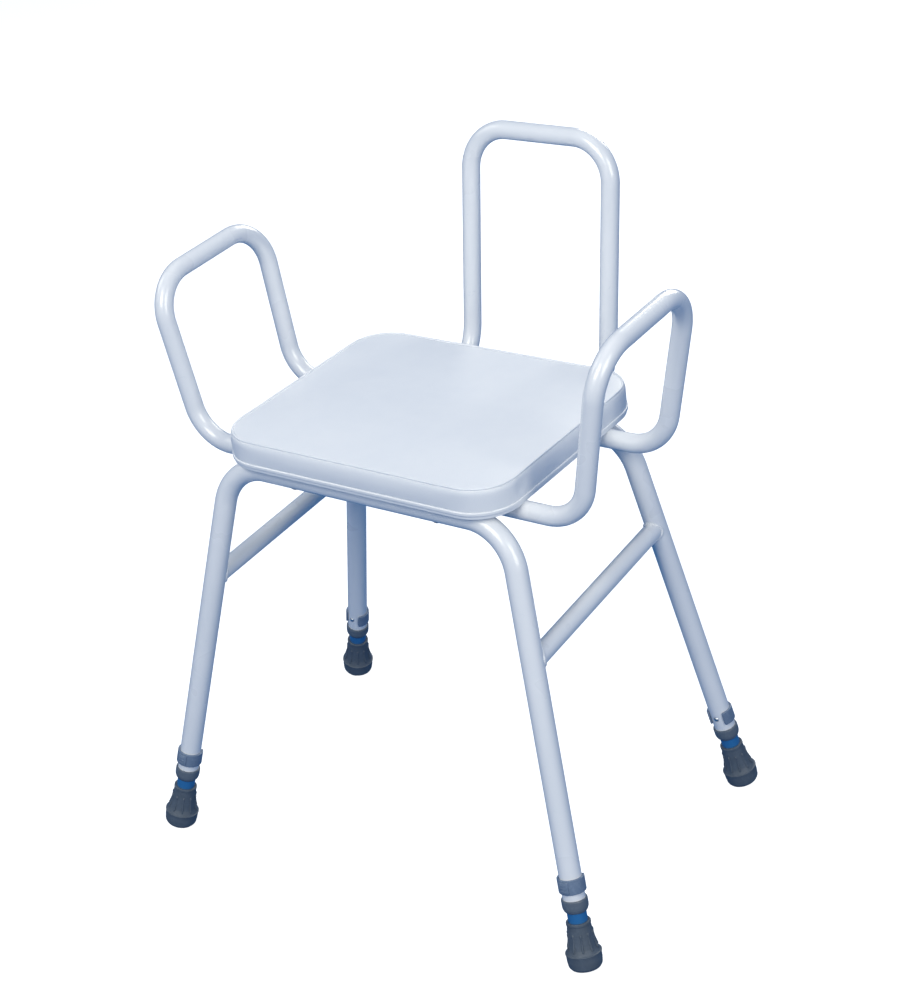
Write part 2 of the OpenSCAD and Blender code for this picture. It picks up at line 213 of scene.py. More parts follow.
@dataclass(frozen=True)
class PowderCoat(Finish):
    """Polyester powder coat, baked on steel tube.

    It flows out to a hard gloss skin with a faint orange peel, a few millimetres from dimple to
    dimple, and picks up dull scuffs where it is handled.
    """

    peel_mm: float = 2.4
    peel_depth_mm: float = 0.016
    scuff_mm: float = 9.0
    scuff_colour: str = "#B9C4D2"

    def pattern(self, tree, place, colour, shine):
        """Adds the orange peel and the scuffs; see Finish.pattern."""
        peel = add_node(
            tree, "ShaderNodeTexNoise", {"Vector": place, "Scale": per_size(self.peel_mm), "Detail": 1.0}
        ).outputs["Fac"]
        rub = add_node(
            tree,
            "ShaderNodeTexNoise",
            {"Vector": place, "Scale": per_size(self.scuff_mm), "Detail": 6.0, "Roughness": 0.7, "Distortion": 1.2},
        ).outputs["Fac"]
        worn = add_node(
            tree, "ShaderNodeMapRange", {"Value": rub, "From Min": 0.64, "From Max": 0.78, "To Max": 0.3}
        ).outputs["Result"]
        colour = add_node(
            tree, "ShaderNodeMix", {0: worn, 6: colour, 7: linear(self.scuff_colour)}, data_type="RGBA"
        ).outputs[2]
        shine = add_node(tree, "ShaderNodeMath", {0: worn, 1: 0.5, 2: shine}, operation="MULTIPLY_ADD").outputs[0]
        return colour, shine, peel, self.peel_depth_mm * MM


@dataclass(frozen=True)
class Leathercloth(Finish):
    """Calendered PVC on a knitted backing, embossed with a leather grain.

    The grain is small rounded cells with creases between them. Real cells are about 0.6 mm
    across; they are drawn at 1.1 mm so that they show. Broad soft waves are the foam underneath.
    """

    grain_mm: float = 1.1
    grain_depth_mm: float = 0.05
    wave_mm: float = 34.0
    wave_share: float = 5.0

    def pattern(self, tree, place, colour, shine):
        """Adds the grain and the soft waves; see Finish.pattern."""
        grain = add_node(
            tree,
            "ShaderNodeTexVoronoi",
            {"Vector": place, "Scale": per_size(self.grain_mm), "Smoothness": 0.6},
            feature="SMOOTH_F1",
        ).outputs["Distance"]
        cell = add_node(
            tree, "ShaderNodeMapRange", {"Value": grain, "From Min": 0.15, "From Max": 0.75, "To Min": 1.0, "To Max": 0.0}
        ).outputs["Result"]
        wave = add_node(
            tree, "ShaderNodeTexNoise", {"Vector": place, "Scale": per_size(self.wave_mm), "Detail": 1.0}
        ).outputs["Fac"]
        height = add_node(
            tree, "ShaderNodeMath", {0: wave, 1: self.wave_share, 2: cell}, operation="MULTIPLY_ADD"
        ).outputs[0]
        shine = add_node(tree, "ShaderNodeMath", {0: cell, 1: -0.06, 2: shine}, operation="MULTIPLY_ADD").outputs[0]
        return colour, shine, height, self.grain_depth_mm * MM


@dataclass(frozen=True)
class MouldedPlastic(Finish):
    """Injection-moulded nylon or polypropylene from a spark-eroded mould.

    It has a fine even texture that dulls it, and faint pale flow marks where the melt slowed.
    """

    texture_mm: float = 0.7
    texture_depth_mm: float = 0.03
    flow_mm: float = 7.0
    flow_colour: str = "#8FA0B2"

    def pattern(self, tree, place, colour, shine):
        """Adds the mould's texture and the flow marks; see Finish.pattern."""
        grit = add_node(
            tree, "ShaderNodeTexNoise", {"Vector": place, "Scale": per_size(self.texture_mm), "Detail": 2.0}
        ).outputs["Fac"]
        flow = add_node(
            tree,
            "ShaderNodeTexNoise",
            {"Vector": place, "Scale": per_size(self.flow_mm), "Detail": 3.0, "Distortion": 2.5},
        ).outputs["Fac"]
        pale = add_node(
            tree, "ShaderNodeMapRange", {"Value": flow, "From Min": 0.5, "From Max": 0.8, "To Max": 0.35}
        ).outputs["Result"]
        colour = add_node(
            tree, "ShaderNodeMix", {0: pale, 6: colour, 7: linear(self.flow_colour)}, data_type="RGBA"
        ).outputs[2]
        return colour, shine, grit, self.texture_depth_mm * MM


@dataclass(frozen=True)
class MouldedRubber(Finish):
    """Compression-moulded rubber: dull, with a pale bloom of wax and dust in patches."""

    grit_mm: float = 0.8
    grit_depth_mm: float = 0.05
    bloom_mm: float = 11.0
    bloom_colour: str = "#77828F"
    bloom_share: float = 0.22

    def pattern(self, tree, place, colour, shine):
        """Adds the grit and the bloom; see Finish.pattern."""
        grit = add_node(
            tree,
            "ShaderNodeTexNoise",
            {"Vector": place, "Scale": per_size(self.grit_mm), "Detail": 3.0, "Roughness": 0.65},
        ).outputs["Fac"]
        dust = add_node(
            tree,
            "ShaderNodeTexNoise",
            {"Vector": place, "Scale": per_size(self.bloom_mm), "Detail": 5.0, "Roughness": 0.7},
        ).outputs["Fac"]
        bloom = add_node(
            tree, "ShaderNodeMapRange", {"Value": dust, "From Min": 0.48, "From Max": 0.75, "To Max": self.bloom_share}
        ).outputs["Result"]
        colour = add_node(
            tree, "ShaderNodeMix", {0: bloom, 6: colour, 7: linear(self.bloom_colour)}, data_type="RGBA"
        ).outputs[2]
        return colour, shine, grit, self.grit_depth_mm * MM


@dataclass(frozen=True)
class ZincPlate(Finish):
    """Bright zinc plate on turned or pressed steel: fine spangle and faint drawing lines."""

    spangle_mm: float = 1.2
    spangle_depth_mm: float = 0.012

    def pattern(self, tree, place, colour, shine):
        """Adds the spangle; see Finish.pattern."""
        spangle = add_node(tree, "ShaderNodeTexVoronoi", {"Vector": place, "Scale": per_size(self.spangle_mm)})
        dull = add_node(
            tree, "ShaderNodeMath", {0: spangle.outputs["Distance"], 1: 0.12, 2: shine}, operation="MULTIPLY_ADD"
        ).outputs[0]
        return colour, dull, spangle.outputs["Distance"], self.spangle_depth_mm * MM


@dataclass(frozen=True)
class BirchPlywood(Finish):
    """Birch plywood: rotary-cut veneers 1.5 mm thick, whose grain runs across in every other ply."""

    ply_mm: float = 1.5
    grain_mm: float = 3.0
    grain_colour: str = "#A98459"
    grain_depth_mm: float = 0.06

    def pattern(self, tree, place, colour, shine):
        """Adds the plies' edges and the grain; see Finish.pattern."""
        stretched = add_node(
            tree, "ShaderNodeMapping", {"Vector": place, "Scale": (0.06, 1.0, 1.0)}
        ).outputs["Vector"]
        grain = add_node(
            tree,
            "ShaderNodeTexNoise",
            {"Vector": stretched, "Scale": per_size(self.grain_mm), "Detail": 5.0, "Distortion": 0.6},
        ).outputs["Fac"]
        plies = add_node(
            tree,
            "ShaderNodeTexWave",
            {"Vector": place, "Scale": per_size(self.ply_mm) / 20.0, "Distortion": 0.4, "Detail": 1.0},
            bands_direction="Z",
        ).outputs["Fac"]
        both = add_node(tree, "ShaderNodeMath", {0: grain, 1: plies}, operation="MULTIPLY").outputs[0]
        colour = add_node(
            tree, "ShaderNodeMix", {0: both, 6: colour, 7: linear(self.grain_colour)}, data_type="RGBA"
        ).outputs[2]
        return colour, shine, grain, self.grain_depth_mm * MM


class Stuff(Enum):
    """The finishes, by the record's material slot."""

    ENAMEL = "white_enamel"
    VINYL = "white_vinyl"
    FOAM = "seat_foam"
    PLYWOOD = "plywood"
    TRIM = "edge_trim"
    CLIP = "clip_plastic"
    COLLAR = "collar_plastic"
    RUBBER = "ferrule_rubber"
    SLIDER = "slider_steel"
    ZINC = "zinc_steel"


FINISHES = {
    # Powder coat on steel: hard gloss, a cool white, with a clear skin of gloss over the pigment.
    Stuff.ENAMEL: PowderCoat(
        "powder_coated_steel", "#ECEEF0", "#E4E8EB", 0.3, drift_mm=90, coat=0.6, coat_roughness=0.12
    ),
    # Vinyl: satin, a little softer and bluer than the tube.
    Stuff.VINYL: Leathercloth(
        "embossed_vinyl", "#E9ECEF", "#E2E6EB", 0.46, drift_mm=55, ior=1.52, sheen=0.08, roughness_spread=0.05
    ),
    # Polyurethane foam, yellowed by light.
    Stuff.FOAM: MouldedRubber("upholstery_foam", "#E8DDB4", "#DCCD9C", 0.95, bloom_colour="#EFE7C8"),
    Stuff.PLYWOOD: BirchPlywood("birch_plywood", "#D2B283", "#C6A273", 0.6, drift_mm=40),
    # Extruded soft PVC: smooth and a little glossier than the vinyl.
    Stuff.TRIM: MouldedPlastic(
        "extruded_pvc", "#EEF0F2", "#E6E9EC", 0.34, texture_depth_mm=0.008, flow_colour="#F2F3F4", coat=0.2
    ),
    # Nylon spring clip: grey-blue, dull.
    Stuff.CLIP: MouldedPlastic("moulded_nylon", "#72839A", "#667890", 0.4, drift_mm=12, flow_colour="#90A0B3"),
    Stuff.COLLAR: MouldedPlastic("moulded_polypropylene", "#616C78", "#57626E", 0.4, drift_mm=12, flow_colour="#76828F"),
    Stuff.RUBBER: MouldedRubber("moulded_rubber", "#525D69", "#4A5560", 0.58, drift_mm=14),
    # The sliding tube: a bluish plated steel whose deep saturated blue is painted shade, drawn with the powder coat's
    # gloss and pattern.
    Stuff.SLIDER: PowderCoat(
        "blue_coated_steel", "#2F6FA8", "#27649C", 0.3, coat=0.5, coat_roughness=0.15, scuff_colour="#7FA6CC"
    ),
    Stuff.ZINC: ZincPlate("zinc_plated_steel", "#C9CDD2", "#B4BAC2", 0.3, drift_mm=8, metallic=1.0),
}


class Paintshop:
    """Builds each finish once and gives it out."""

    def __init__(self) -> None:
        """Builds every material."""
        self.made = {stuff: finish.build() for stuff, finish in FINISHES.items()}

    def coat(self, piece: bpy.types.Object, stuff: Stuff) -> None:
        """Puts one finish on the whole piece."""
        piece.data.materials.clear()
        piece.data.materials.append(self.made[stuff])

    def coat_cad_nodes(self) -> None:
        """Gives each CAD node the finish of its slot, through its object's material slots."""
        slots = {part["node"]: Stuff(part["material_slot"]) for part in frame["record"]["subparts"]}
        for name, stuff in slots.items():
            for slot in frame["nodes"][name].material_slots:
                slot.material = self.made[stuff]
        LOG.info("coated %d CAD nodes", len(slots))


# ---------------------------------------------------------------- mesh and tree helpers


def show(name: str, mesh: bpy.types.Mesh) -> bpy.types.Object:
    """Makes an object for a mesh, at the origin, and links it to the scene."""
    made = bpy.data.objects.new(name, mesh)
    bpy.context.scene.collection.objects.link(made)
    return made


def path_mesh(name: str, points: list[Vector], closed: bool = False, swell: list[float] | None = None) -> bpy.types.Mesh:
    """Makes a mesh of edges only, for a tree to sweep along.

    Args:
        name: the mesh's name.
        points: the points, in order.
        closed: whether the last point joins the first.
        swell: how much larger than its profile the sweep is at each point; 1 if left out.

    Returns:
        The mesh, with a float attribute named swell.
    """
    count = len(points)
    edges = [(i, (i + 1) % count) for i in range(count if closed else count - 1)]
    mesh = bpy.data.meshes.new(name)
    mesh.from_pydata([tuple(p) for p in points], edges, [])
    layer = mesh.attributes.new("swell", "FLOAT", "POINT")
    for i, item in enumerate(layer.data):
        item.value = swell[i] if swell else 1.0
    return mesh


def bent_path(points: list[Vector], radii: list[float], step: float) -> list[Vector]:
    """Rounds the inner corners of a path with arcs.

    Args:
        points: the path's corners, its two ends among them.
        radii: the bend radius at each inner corner; 0 leaves it as it is.
        step: the greatest distance between two points on an arc.

    Returns:
        The points of the rounded path.
    """
    made = [points[0]]
    for before, corner, after, radius in zip(points, points[1:], points[2:], radii):
        d0, d1 = (corner - before).normalized(), (after - corner).normalized()
        turn = d0.angle(d1)
        if radius <= 0 or turn < 1e-4:
            made.append(corner)
            continue
        setback = radius * math.tan(turn / 2)
        start = corner - d0 * setback
        inward = (d1 - d0 * d1.dot(d0)).normalized()
        count = max(2, math.ceil(radius * turn / step))
        for i in range(count + 1):
            a = turn * i / count
            made.append(start + d0 * (radius * math.sin(a)) + inward * (radius * (1 - math.cos(a))))
    made.append(points[-1])
    return made


def start_tree(name: str, sizes: dict[str, str]) -> tuple[bpy.types.NodeTree, bpy.types.Node]:
    """Starts a geometry tree with named inputs.

    Args:
        name: the tree's name.
        sizes: each input's name and the kind of its socket, such as Float.

    Returns:
        The tree and its group input node.
    """
    tree = bpy.data.node_groups.new(name, "GeometryNodeTree")
    tree.interface.new_socket("Path", in_out="INPUT", socket_type="NodeSocketGeometry")
    for label, kind in {**sizes, "Material": "Material"}.items():
        tree.interface.new_socket(label, in_out="INPUT", socket_type=f"NodeSocket{kind}")
    tree.interface.new_socket("Geometry", in_out="OUTPUT", socket_type="NodeSocketGeometry")
    return tree, tree.nodes.new("NodeGroupInput")


def end_tree(tree: bpy.types.NodeTree, given: bpy.types.Node, geometry: bpy.types.NodeSocket) -> bpy.types.NodeTree:
    """Shades the geometry smooth between sharp edges, makes instances real, and sets the material.

    Args:
        tree: the tree.
        given: its group input node.
        geometry: the geometry that it has made.

    Returns:
        The tree.
    """
    real = add_node(tree, "GeometryNodeRealizeInstances", {0: geometry}).outputs[0]
    smooth = add_node(tree, "GeometryNodeSetShadeSmooth", {0: real, "Shade Smooth": True}).outputs[0]
    angle = add_node(tree, "GeometryNodeInputMeshEdgeAngle").outputs["Unsigned Angle"]
    steep = add_node(tree, "FunctionNodeCompare", {0: angle, 1: math.radians(38)}, operation="GREATER_THAN")
    sharp = add_node(
        tree,
        "GeometryNodeSetShadeSmooth",
        {0: smooth, "Selection": steep.outputs[0], "Shade Smooth": False},
        domain="EDGE",
    ).outputs[0]
    coated = add_node(tree, "GeometryNodeSetMaterial", {0: sharp, "Material": given.outputs["Material"]}).outputs[0]
    add_node(tree, "NodeGroupOutput", {0: coated})
    return tree


def grow(name: str, tree: bpy.types.NodeTree, source: bpy.types.Mesh, **values) -> bpy.types.Object:
    """Runs a tree on a mesh and keeps the result as a plain mesh.

    Args:
        name: the new piece's name.
        tree: the tree.
        source: the mesh that the tree works on.
        values: the tree's inputs, with _ for each space in a name.

    Returns:
        The new piece, which has no modifier.
    """
    holder = show(name + "_source", source)
    modifier = holder.modifiers.new("grow", "NODES")
    modifier.node_group = tree
    for item in tree.interface.items_tree:
        if item.in_out == "INPUT" and item.name.replace(" ", "_") in values:
            modifier[item.identifier] = values[item.name.replace(" ", "_")]
    graph = bpy.context.evaluated_depsgraph_get()
    mesh = bpy.data.meshes.new_from_object(holder.evaluated_get(graph), depsgraph=graph)
    bpy.data.objects.remove(holder)
    mesh.name = name
    for attribute in [a.name for a in mesh.attributes if a.name == "swell"]:
        mesh.attributes.remove(mesh.attributes[attribute])
    return show(name, mesh)


class Trees:
    """The geometry trees: a bent tube, a swept strip, a row of stitches and a ring of ribs."""

    def __init__(self) -> None:
        """Builds the four trees."""
        self.tube = self.bent_tube()
        self.strip = self.swept_strip()
        self.stitches = self.stitch_row()
        self.ring = self.rib_ring()

    @staticmethod
    def bent_tube() -> bpy.types.NodeTree:
        """A hollow round tube along the path, less the shape of the object Holes."""
        tree, given = start_tree(
            "bent tube", {"Outside diameter": "Float", "Wall": "Float", "Sides": "Int", "Holes": "Object"}
        )
        line = add_node(tree, "GeometryNodeMeshToCurve", {0: given.outputs["Path"]}).outputs[0]
        radius = add_node(
            tree, "ShaderNodeMath", {0: given.outputs["Outside diameter"], 1: 0.5}, operation="MULTIPLY"
        ).outputs[0]
        circle = add_node(
            tree, "GeometryNodeCurvePrimitiveCircle", {"Resolution": given.outputs["Sides"], "Radius": radius}
        ).outputs["Curve"]
        skin = add_node(tree, "GeometryNodeCurveToMesh", {0: line, 1: circle}).outputs[0]
        turned = add_node(tree, "GeometryNodeFlipFaces", {0: skin}).outputs[0]
        bore = add_node(
            tree,
            "GeometryNodeExtrudeMesh",
            {"Mesh": turned, "Offset Scale": given.outputs["Wall"], "Individual": False},
            mode="FACES",
        ).outputs["Mesh"]
        both = add_node(tree, "GeometryNodeJoinGeometry", {0: skin})
        tree.links.new(bore, both.inputs[0])
        tube = add_node(
            tree, "GeometryNodeMergeByDistance", {"Geometry": both.outputs[0], "Distance": 0.01 * MM}
        ).outputs[0]
        holes = add_node(tree, "GeometryNodeObjectInfo", {"Object": given.outputs["Holes"]}).outputs["Geometry"]
        cut = add_node(tree, "GeometryNodeMeshBoolean", {0: tube}, operation="DIFFERENCE", solver="EXACT")
        tree.links.new(holes, cut.inputs[1])
        return end_tree(tree, given, cut.outputs[0])

    @staticmethod
    def swept_strip() -> bpy.types.NodeTree:
        """A solid strip along the path, with the outline of the object Profile, swollen by swell."""
        tree, given = start_tree("swept strip", {"Profile": "Object"})
        swell = add_node(tree, "GeometryNodeInputNamedAttribute", {"Name": "swell"}, data_type="FLOAT").outputs[0]
        line = add_node(tree, "GeometryNodeMeshToCurve", {0: given.outputs["Path"]}).outputs[0]
        outline = add_node(
            tree, "GeometryNodeObjectInfo", {"Object": given.outputs["Profile"]}
        ).outputs["Geometry"]
        ring = add_node(tree, "GeometryNodeMeshToCurve", {0: outline}).outputs[0]
        upright = add_node(tree, "GeometryNodeSetCurveNormal", {0: line}, mode="Z_UP").outputs[0]
        sweep = add_node(tree, "GeometryNodeCurveToMesh", {0: upright, 1: ring, "Fill Caps": True, "Scale": swell})
        return end_tree(tree, given, sweep.outputs[0])

    @staticmethod
    def stitch_row() -> bpy.types.NodeTree:
        """The object Stitch again and again along the path, one each Pitch."""
        tree, given = start_tree("row of stitches", {"Stitch": "Object", "Pitch": "Float"})
        line = add_node(tree, "GeometryNodeMeshToCurve", {0: given.outputs["Path"]}).outputs[0]
        spaced = add_node(
            tree, "GeometryNodeResampleCurve", {"Curve": line, "Length": given.outputs["Pitch"]}, mode="LENGTH"
        ).outputs[0]
        along = add_node(tree, "GeometryNodeInputTangent").outputs[0]
        turn = add_node(tree, "FunctionNodeAlignRotationToVector", {"Vector": along}, axis="X").outputs[0]
        stitch = add_node(tree, "GeometryNodeObjectInfo", {"Object": given.outputs["Stitch"]}).outputs["Geometry"]
        row = add_node(
            tree, "GeometryNodeInstanceOnPoints", {"Points": spaced, "Instance": stitch, "Rotation": turn}
        ).outputs[0]
        return end_tree(tree, given, row)

    @staticmethod
    def rib_ring() -> bpy.types.NodeTree:
        """Count copies of the path's mesh round the Z axis, with the object Body."""
        tree, given = start_tree("ring of ribs", {"Count": "Int", "Body": "Object"})
        points = add_node(tree, "GeometryNodePoints", {"Count": given.outputs["Count"]}).outputs[0]
        step = add_node(
            tree, "ShaderNodeMath", {0: math.tau, 1: given.outputs["Count"]}, operation="DIVIDE"
        ).outputs[0]
        index = add_node(tree, "GeometryNodeInputIndex").outputs[0]
        angle = add_node(tree, "ShaderNodeMath", {0: index, 1: step}, operation="MULTIPLY").outputs[0]
        turn = add_node(tree, "ShaderNodeCombineXYZ", {"Z": angle}).outputs[0]
        ribs = add_node(
            tree,
            "GeometryNodeInstanceOnPoints",
            {"Points": points, "Instance": given.outputs["Path"], "Rotation": turn},
        ).outputs[0]
        body = add_node(tree, "GeometryNodeObjectInfo", {"Object": given.outputs["Body"]}).outputs["Geometry"]
        both = add_node(tree, "GeometryNodeJoinGeometry", {0: ribs})
        tree.links.new(body, both.inputs[0])
        return end_tree(tree, given, both.outputs[0])


def outline(points: list[tuple[float, float]], radius: float, step: float) -> list[Vector]:
    """Rounds every corner of a closed outline in the plane.

    Args:
        points: the corners as (across, up), in metres.
        radius: the radius at each corner.
        step: the greatest distance between two points on an arc.

    Returns:
        The rounded outline, with Z = 0, whose last point is not its first again.
    """
    corners = [Vector((x, y, 0.0)) for x, y in points]
    middle = (corners[0] + corners[-1]) / 2
    return bent_path([middle, *corners, middle], [radius] * len(corners), step)[:-1]


def profile_object(name: str, points: list[Vector]) -> bpy.types.Object:
    """Makes a closed outline as an object for a tree; it is removed after use."""
    return show(name, path_mesh(name, points, closed=True))


def lathe(name: str, profile: list[Vector], sides: int) -> bpy.types.Mesh:
    """Turns a profile round the Z axis.

    Args:
        name: the mesh's name.
        profile: the points as (radius, 0, height), from one end on the axis to the other, or a loop.
        sides: how many faces go round.

    Returns:
        The closed mesh, with its faces pointing outwards.
    """
    work = bmesh.new()
    rings = []
    for point in profile:
        radius, height = point.x, point.z
        if radius < 1e-7:
            rings.append([work.verts.new((0, 0, height))])
            continue
        spin = [math.tau * i / sides for i in range(sides)]
        rings.append([work.verts.new((radius * math.cos(a), radius * math.sin(a), height)) for a in spin])
    for low, high in zip(rings, rings[1:]):
        for i in range(sides):
            j = (i + 1) % sides
            if len(low) == 1:
                work.faces.new((low[0], high[i], high[j]))
            elif len(high) == 1:
                work.faces.new((low[i], high[0], low[j]))
            else:
                work.faces.new((low[i], low[j], high[j], high[i]))
    bmesh.ops.recalc_face_normals(work, faces=work.faces)
    mesh = bpy.data.meshes.new(name)
    work.to_mesh(mesh)
    work.free()
    return mesh


# ---------------------------------------------------------------- where things are


@dataclass(frozen=True)
class Leg:
    """One leg: its name, the middle of its sole, the way up it, and the way its clip comes off."""

    name: str
    sole: Vector
    up: Vector
    out: Vector

    def at(self, height: float) -> Vector:
        """The point on the leg's middle line that is this far up it from the sole."""
        return self.sole + height * self.up

    def frame_at(self, height: float = 0.0) -> Matrix:
        """The leg's own frame at that height: Z up the leg, X the way the clip comes off."""
        x = (self.out - self.out.dot(self.up) * self.up).normalized()
        turned = Matrix((x, self.up.cross(x), self.up)).transposed().to_4x4()
        turned.translation = self.at(height)
        return turned


@dataclass(frozen=True)
class Layout:
    """The stool's sizes that its boxes do not give, and the places that follow from them."""

    leg_od: float = 25.4 * MM
    leg_wall: float = 1.6 * MM
    leg_bend: float = 62 * MM
    brace_od: float = 22 * MM
    loop_od: float = 22 * MM
    loop_wall: float = 1.5 * MM
    seat_corner: float = 50 * MM
    tube_end: float = 69.5 * MM
    pin_place: float = 99 * MM
    disc_place: float = 7 * MM
    pin_bore: float = 6.4 * MM
    slider_od: float = 22 * MM

    @property
    def seat(self) -> tuple[Vector, Vector]:
        """The seat cover's lowest and highest corner."""
        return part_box("seat_cover")

    @property
    def bar_z(self) -> float:
        """The height of the middle line of the front and rear bars."""
        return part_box("front_leg_frame")[1].z - self.leg_od / 2

    def bar_y(self, leg_name: str) -> float:
        """Where the bar that joins this leg to its neighbour lies, front to back."""
        if leg_name.startswith("front"):
            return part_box("front_leg_frame")[1].y - self.leg_od / 2
        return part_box("rear_leg_frame")[0].y + self.leg_od / 2

    def legs(self) -> list[Leg]:
        """The four legs, read from the joints and from the discs in their ferrules."""
        axes = {j["name"]: Vector(j["axis"]) for j in frame["record"]["behaviour"]["joints"]}
        found = []
        for name in ("front_left", "front_right", "rear_left", "rear_right"):
            low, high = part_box("ferrule_disc_" + name)
            up = -axes["leg_extension_" + name].normalized()
            sole = (Vector(low) + Vector(high)) / 2 - up * self.disc_place
            found.append(Leg(name, sole, up, axes["clip_pull_" + name].normalized()))
        return found

    def corner(self, leg: Leg) -> Vector:
        """Where the leg's middle line meets its bar's."""
        return leg.at((self.bar_z - leg.sole.z) / leg.up.z)


# ---------------------------------------------------------------- the tube work


@dataclass
class TubeWork:
    """The bent tubes: two leg frames, two arms and the back, with the welds of the braces."""

    layout: Layout
    trees: Trees
    shop: Paintshop
    bend_step: float = 2.5 * MM
    sides: int = 56
    arm_foot_out: float = 69 * MM
    arm_top_out: float = 103 * MM
    arm_rise_front: float = 157 * MM
    arm_rise_rear: float = 164 * MM
    arm_rear_gap: float = 4.3 * MM
    arm_rear_lean: float = 14 * MM
    arm_bend: float = 50 * MM
    back_half: float = 97 * MM
    back_rise: float = 225 * MM
    back_behind: float = 71 * MM
    back_lean: float = 51 * MM
    back_foot_bend: float = 70 * MM
    back_top_bend: float = 50 * MM
    weld_size: float = 2.0 * MM
    weld_ripple: float = 0.1
    weld_pitch: float = 2.6 * MM

    def build(self) -> None:
        """Builds every tube and weld."""
        legs = {leg.name: leg for leg in self.layout.legs()}
        self.leg_frame("front", legs)
        self.leg_frame("rear", legs)
        self.arm("left", 1)
        self.arm("right", -1)
        self.back()
        self.welds(legs)

    def tube(self, name: str, points: list[Vector], outside: float, wall: float, holes=None) -> None:
        """Grows one tube in place of the CAD node of that name.

        Args:
            name: the CAD node.
            points: the points of the rounded path.
            outside: the outside diameter.
            wall: the thickness of the wall.
            holes: an object whose shape is cut away, if any.
        """
        piece = grow(
            name + "_tube",
            self.trees.tube,
            path_mesh(name, points),
            Outside_diameter=outside,
            Wall=wall,
            Sides=self.sides,
            Holes=holes,
            Material=self.shop.made[Stuff.ENAMEL],
        )
        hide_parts(name)
        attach(piece, "root")
        LOG.info("%s: %d faces", name, len(piece.data.polygons))

    def leg_frame(self, end: str, legs: dict[str, Leg]) -> None:
        """Builds both legs at one end and the bar between them, with the holes for the pins."""
        spread = 12 * MM
        sides = []
        for side in ("right", "left"):
            leg = legs[f"{end}_{side}"]
            pin = self.layout.pin_place
            sides.append([leg.at(self.layout.tube_end), leg.at(pin - spread), leg.at(pin + spread), self.layout.corner(leg)])
        points = [*sides[0], *reversed(sides[1])]
        bend = self.layout.leg_bend
        holes = self.pin_holes([legs[f"{end}_{side}"] for side in ("right", "left")])
        path = bent_path(points, [0, 0, bend, bend, 0, 0], self.bend_step)
        self.tube(f"{end}_leg_frame", path, self.layout.leg_od, self.layout.leg_wall, holes)
        bpy.data.objects.remove(holes)

    def pin_holes(self, legs: list[Leg]) -> bpy.types.Object:
        """Makes the shape that the pins' holes take out of these legs."""
        work = bmesh.new()
        for leg in legs:
            bmesh.ops.create_cone(
                work,
                cap_ends=True,
                segments=32,
                radius1=self.layout.pin_bore / 2,
                radius2=self.layout.pin_bore / 2,
                depth=2 * self.layout.leg_od,
                matrix=leg.frame_at(self.layout.pin_place) @ Matrix.Rotation(math.pi / 2, 4, "Y"),
            )
        mesh = bpy.data.meshes.new("pin_holes")
        work.to_mesh(mesh)
        work.free()
        return show("pin_holes", mesh)

    def arm(self, side: str, sign: int) -> None:
        """Builds one arm loop, from one end under the seat to the other."""
        low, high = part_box("arm_" + side)
        seat_low, seat_high = self.layout.seat
        half_tube = self.layout.loop_od / 2
        end_x = min(abs(low[0]), abs(high[0]))
        z, front = low[2] + half_tube, low[1] + half_tube
        rear = self.layout.bar_y("rear") - self.layout.leg_od / 2 - self.arm_rear_gap - half_tube
        foot_x, top_x = seat_high[0] + self.arm_foot_out, seat_high[0] + self.arm_top_out
        top = seat_high[2] - half_tube
        corners = [
            (end_x, front, z),
            (foot_x, front, z),
            (top_x, front, top + self.arm_rise_front),
            (top_x, rear + self.arm_rear_lean, top + self.arm_rise_rear),
            (foot_x, rear, z),
            (end_x, rear, z),
        ]
        points = [Vector((sign * x, y, h)) for x, y, h in corners]
        self.tube("arm_" + side, bent_path(points, [self.arm_bend] * 4, self.bend_step), self.layout.loop_od, self.layout.loop_wall)

    def back(self) -> None:
        """Builds the back loop, from one foot under the seat to the other."""
        low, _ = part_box("back_loop")
        _, seat_high = self.layout.seat
        foot_z = low[2] + self.layout.loop_od / 2
        behind = seat_high[1] + self.back_behind
        side = [
            (low[1], foot_z),
            (behind, foot_z),
            (behind + self.back_lean, seat_high[2] + self.back_rise),
        ]
        points = [Vector((-self.back_half, y, z)) for y, z in side]
        points += [Vector((self.back_half, y, z)) for y, z in reversed(side)]
        radii = [self.back_foot_bend, self.back_top_bend, self.back_top_bend, self.back_foot_bend]
        self.tube("back_loop", bent_path(points, radii, self.bend_step), self.layout.loop_od, self.layout.loop_wall)

    def welds(self, legs: dict[str, Leg]) -> None:
        """Lays a rippled bead of weld where each brace meets its legs."""
        ring = [
            Vector((math.cos(math.tau * i / 12), math.sin(math.tau * i / 12), 0)) * self.weld_size for i in range(12)
        ]
        profile = profile_object("bead", ring)
        for side in ("left", "right"):
            low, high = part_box("side_brace_" + side)
            ends = self.brace_ends(side, legs)
            for name, here, there in (("front", *ends), ("rear", *reversed(ends))):
                leg = legs[f"{name}_{side}"]
                points = self.saddle(leg, here, there)
                length = sum((a - b).length for a, b in zip(points, points[1:] + points[:1]))
                waves = round(length / self.weld_pitch)
                swell = [
                    1 + self.weld_ripple * math.sin(math.tau * waves * i / len(points)) for i in range(len(points))
                ]
                piece = grow(
                    f"weld_{name}_{side}",
                    self.trees.strip,
                    path_mesh("weld", points, closed=True, swell=swell),
                    Profile=profile,
                    Material=self.shop.made[Stuff.ENAMEL],
                )
                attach(piece, "root")
        bpy.data.objects.remove(profile)
        LOG.info("laid 4 welds")

    def brace_ends(self, side: str, legs: dict[str, Leg]) -> list[Vector]:
        """The points where a brace's middle line meets its front and rear leg's."""
        low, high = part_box("side_brace_" + side)
        ends = []
        for end, drop in (("front", 144 * MM), ("rear", 126 * MM)):
            leg = legs[f"{end}_{side}"]
            ends.append(leg.at((self.layout.bar_z - drop - leg.sole.z) / leg.up.z))
        return ends

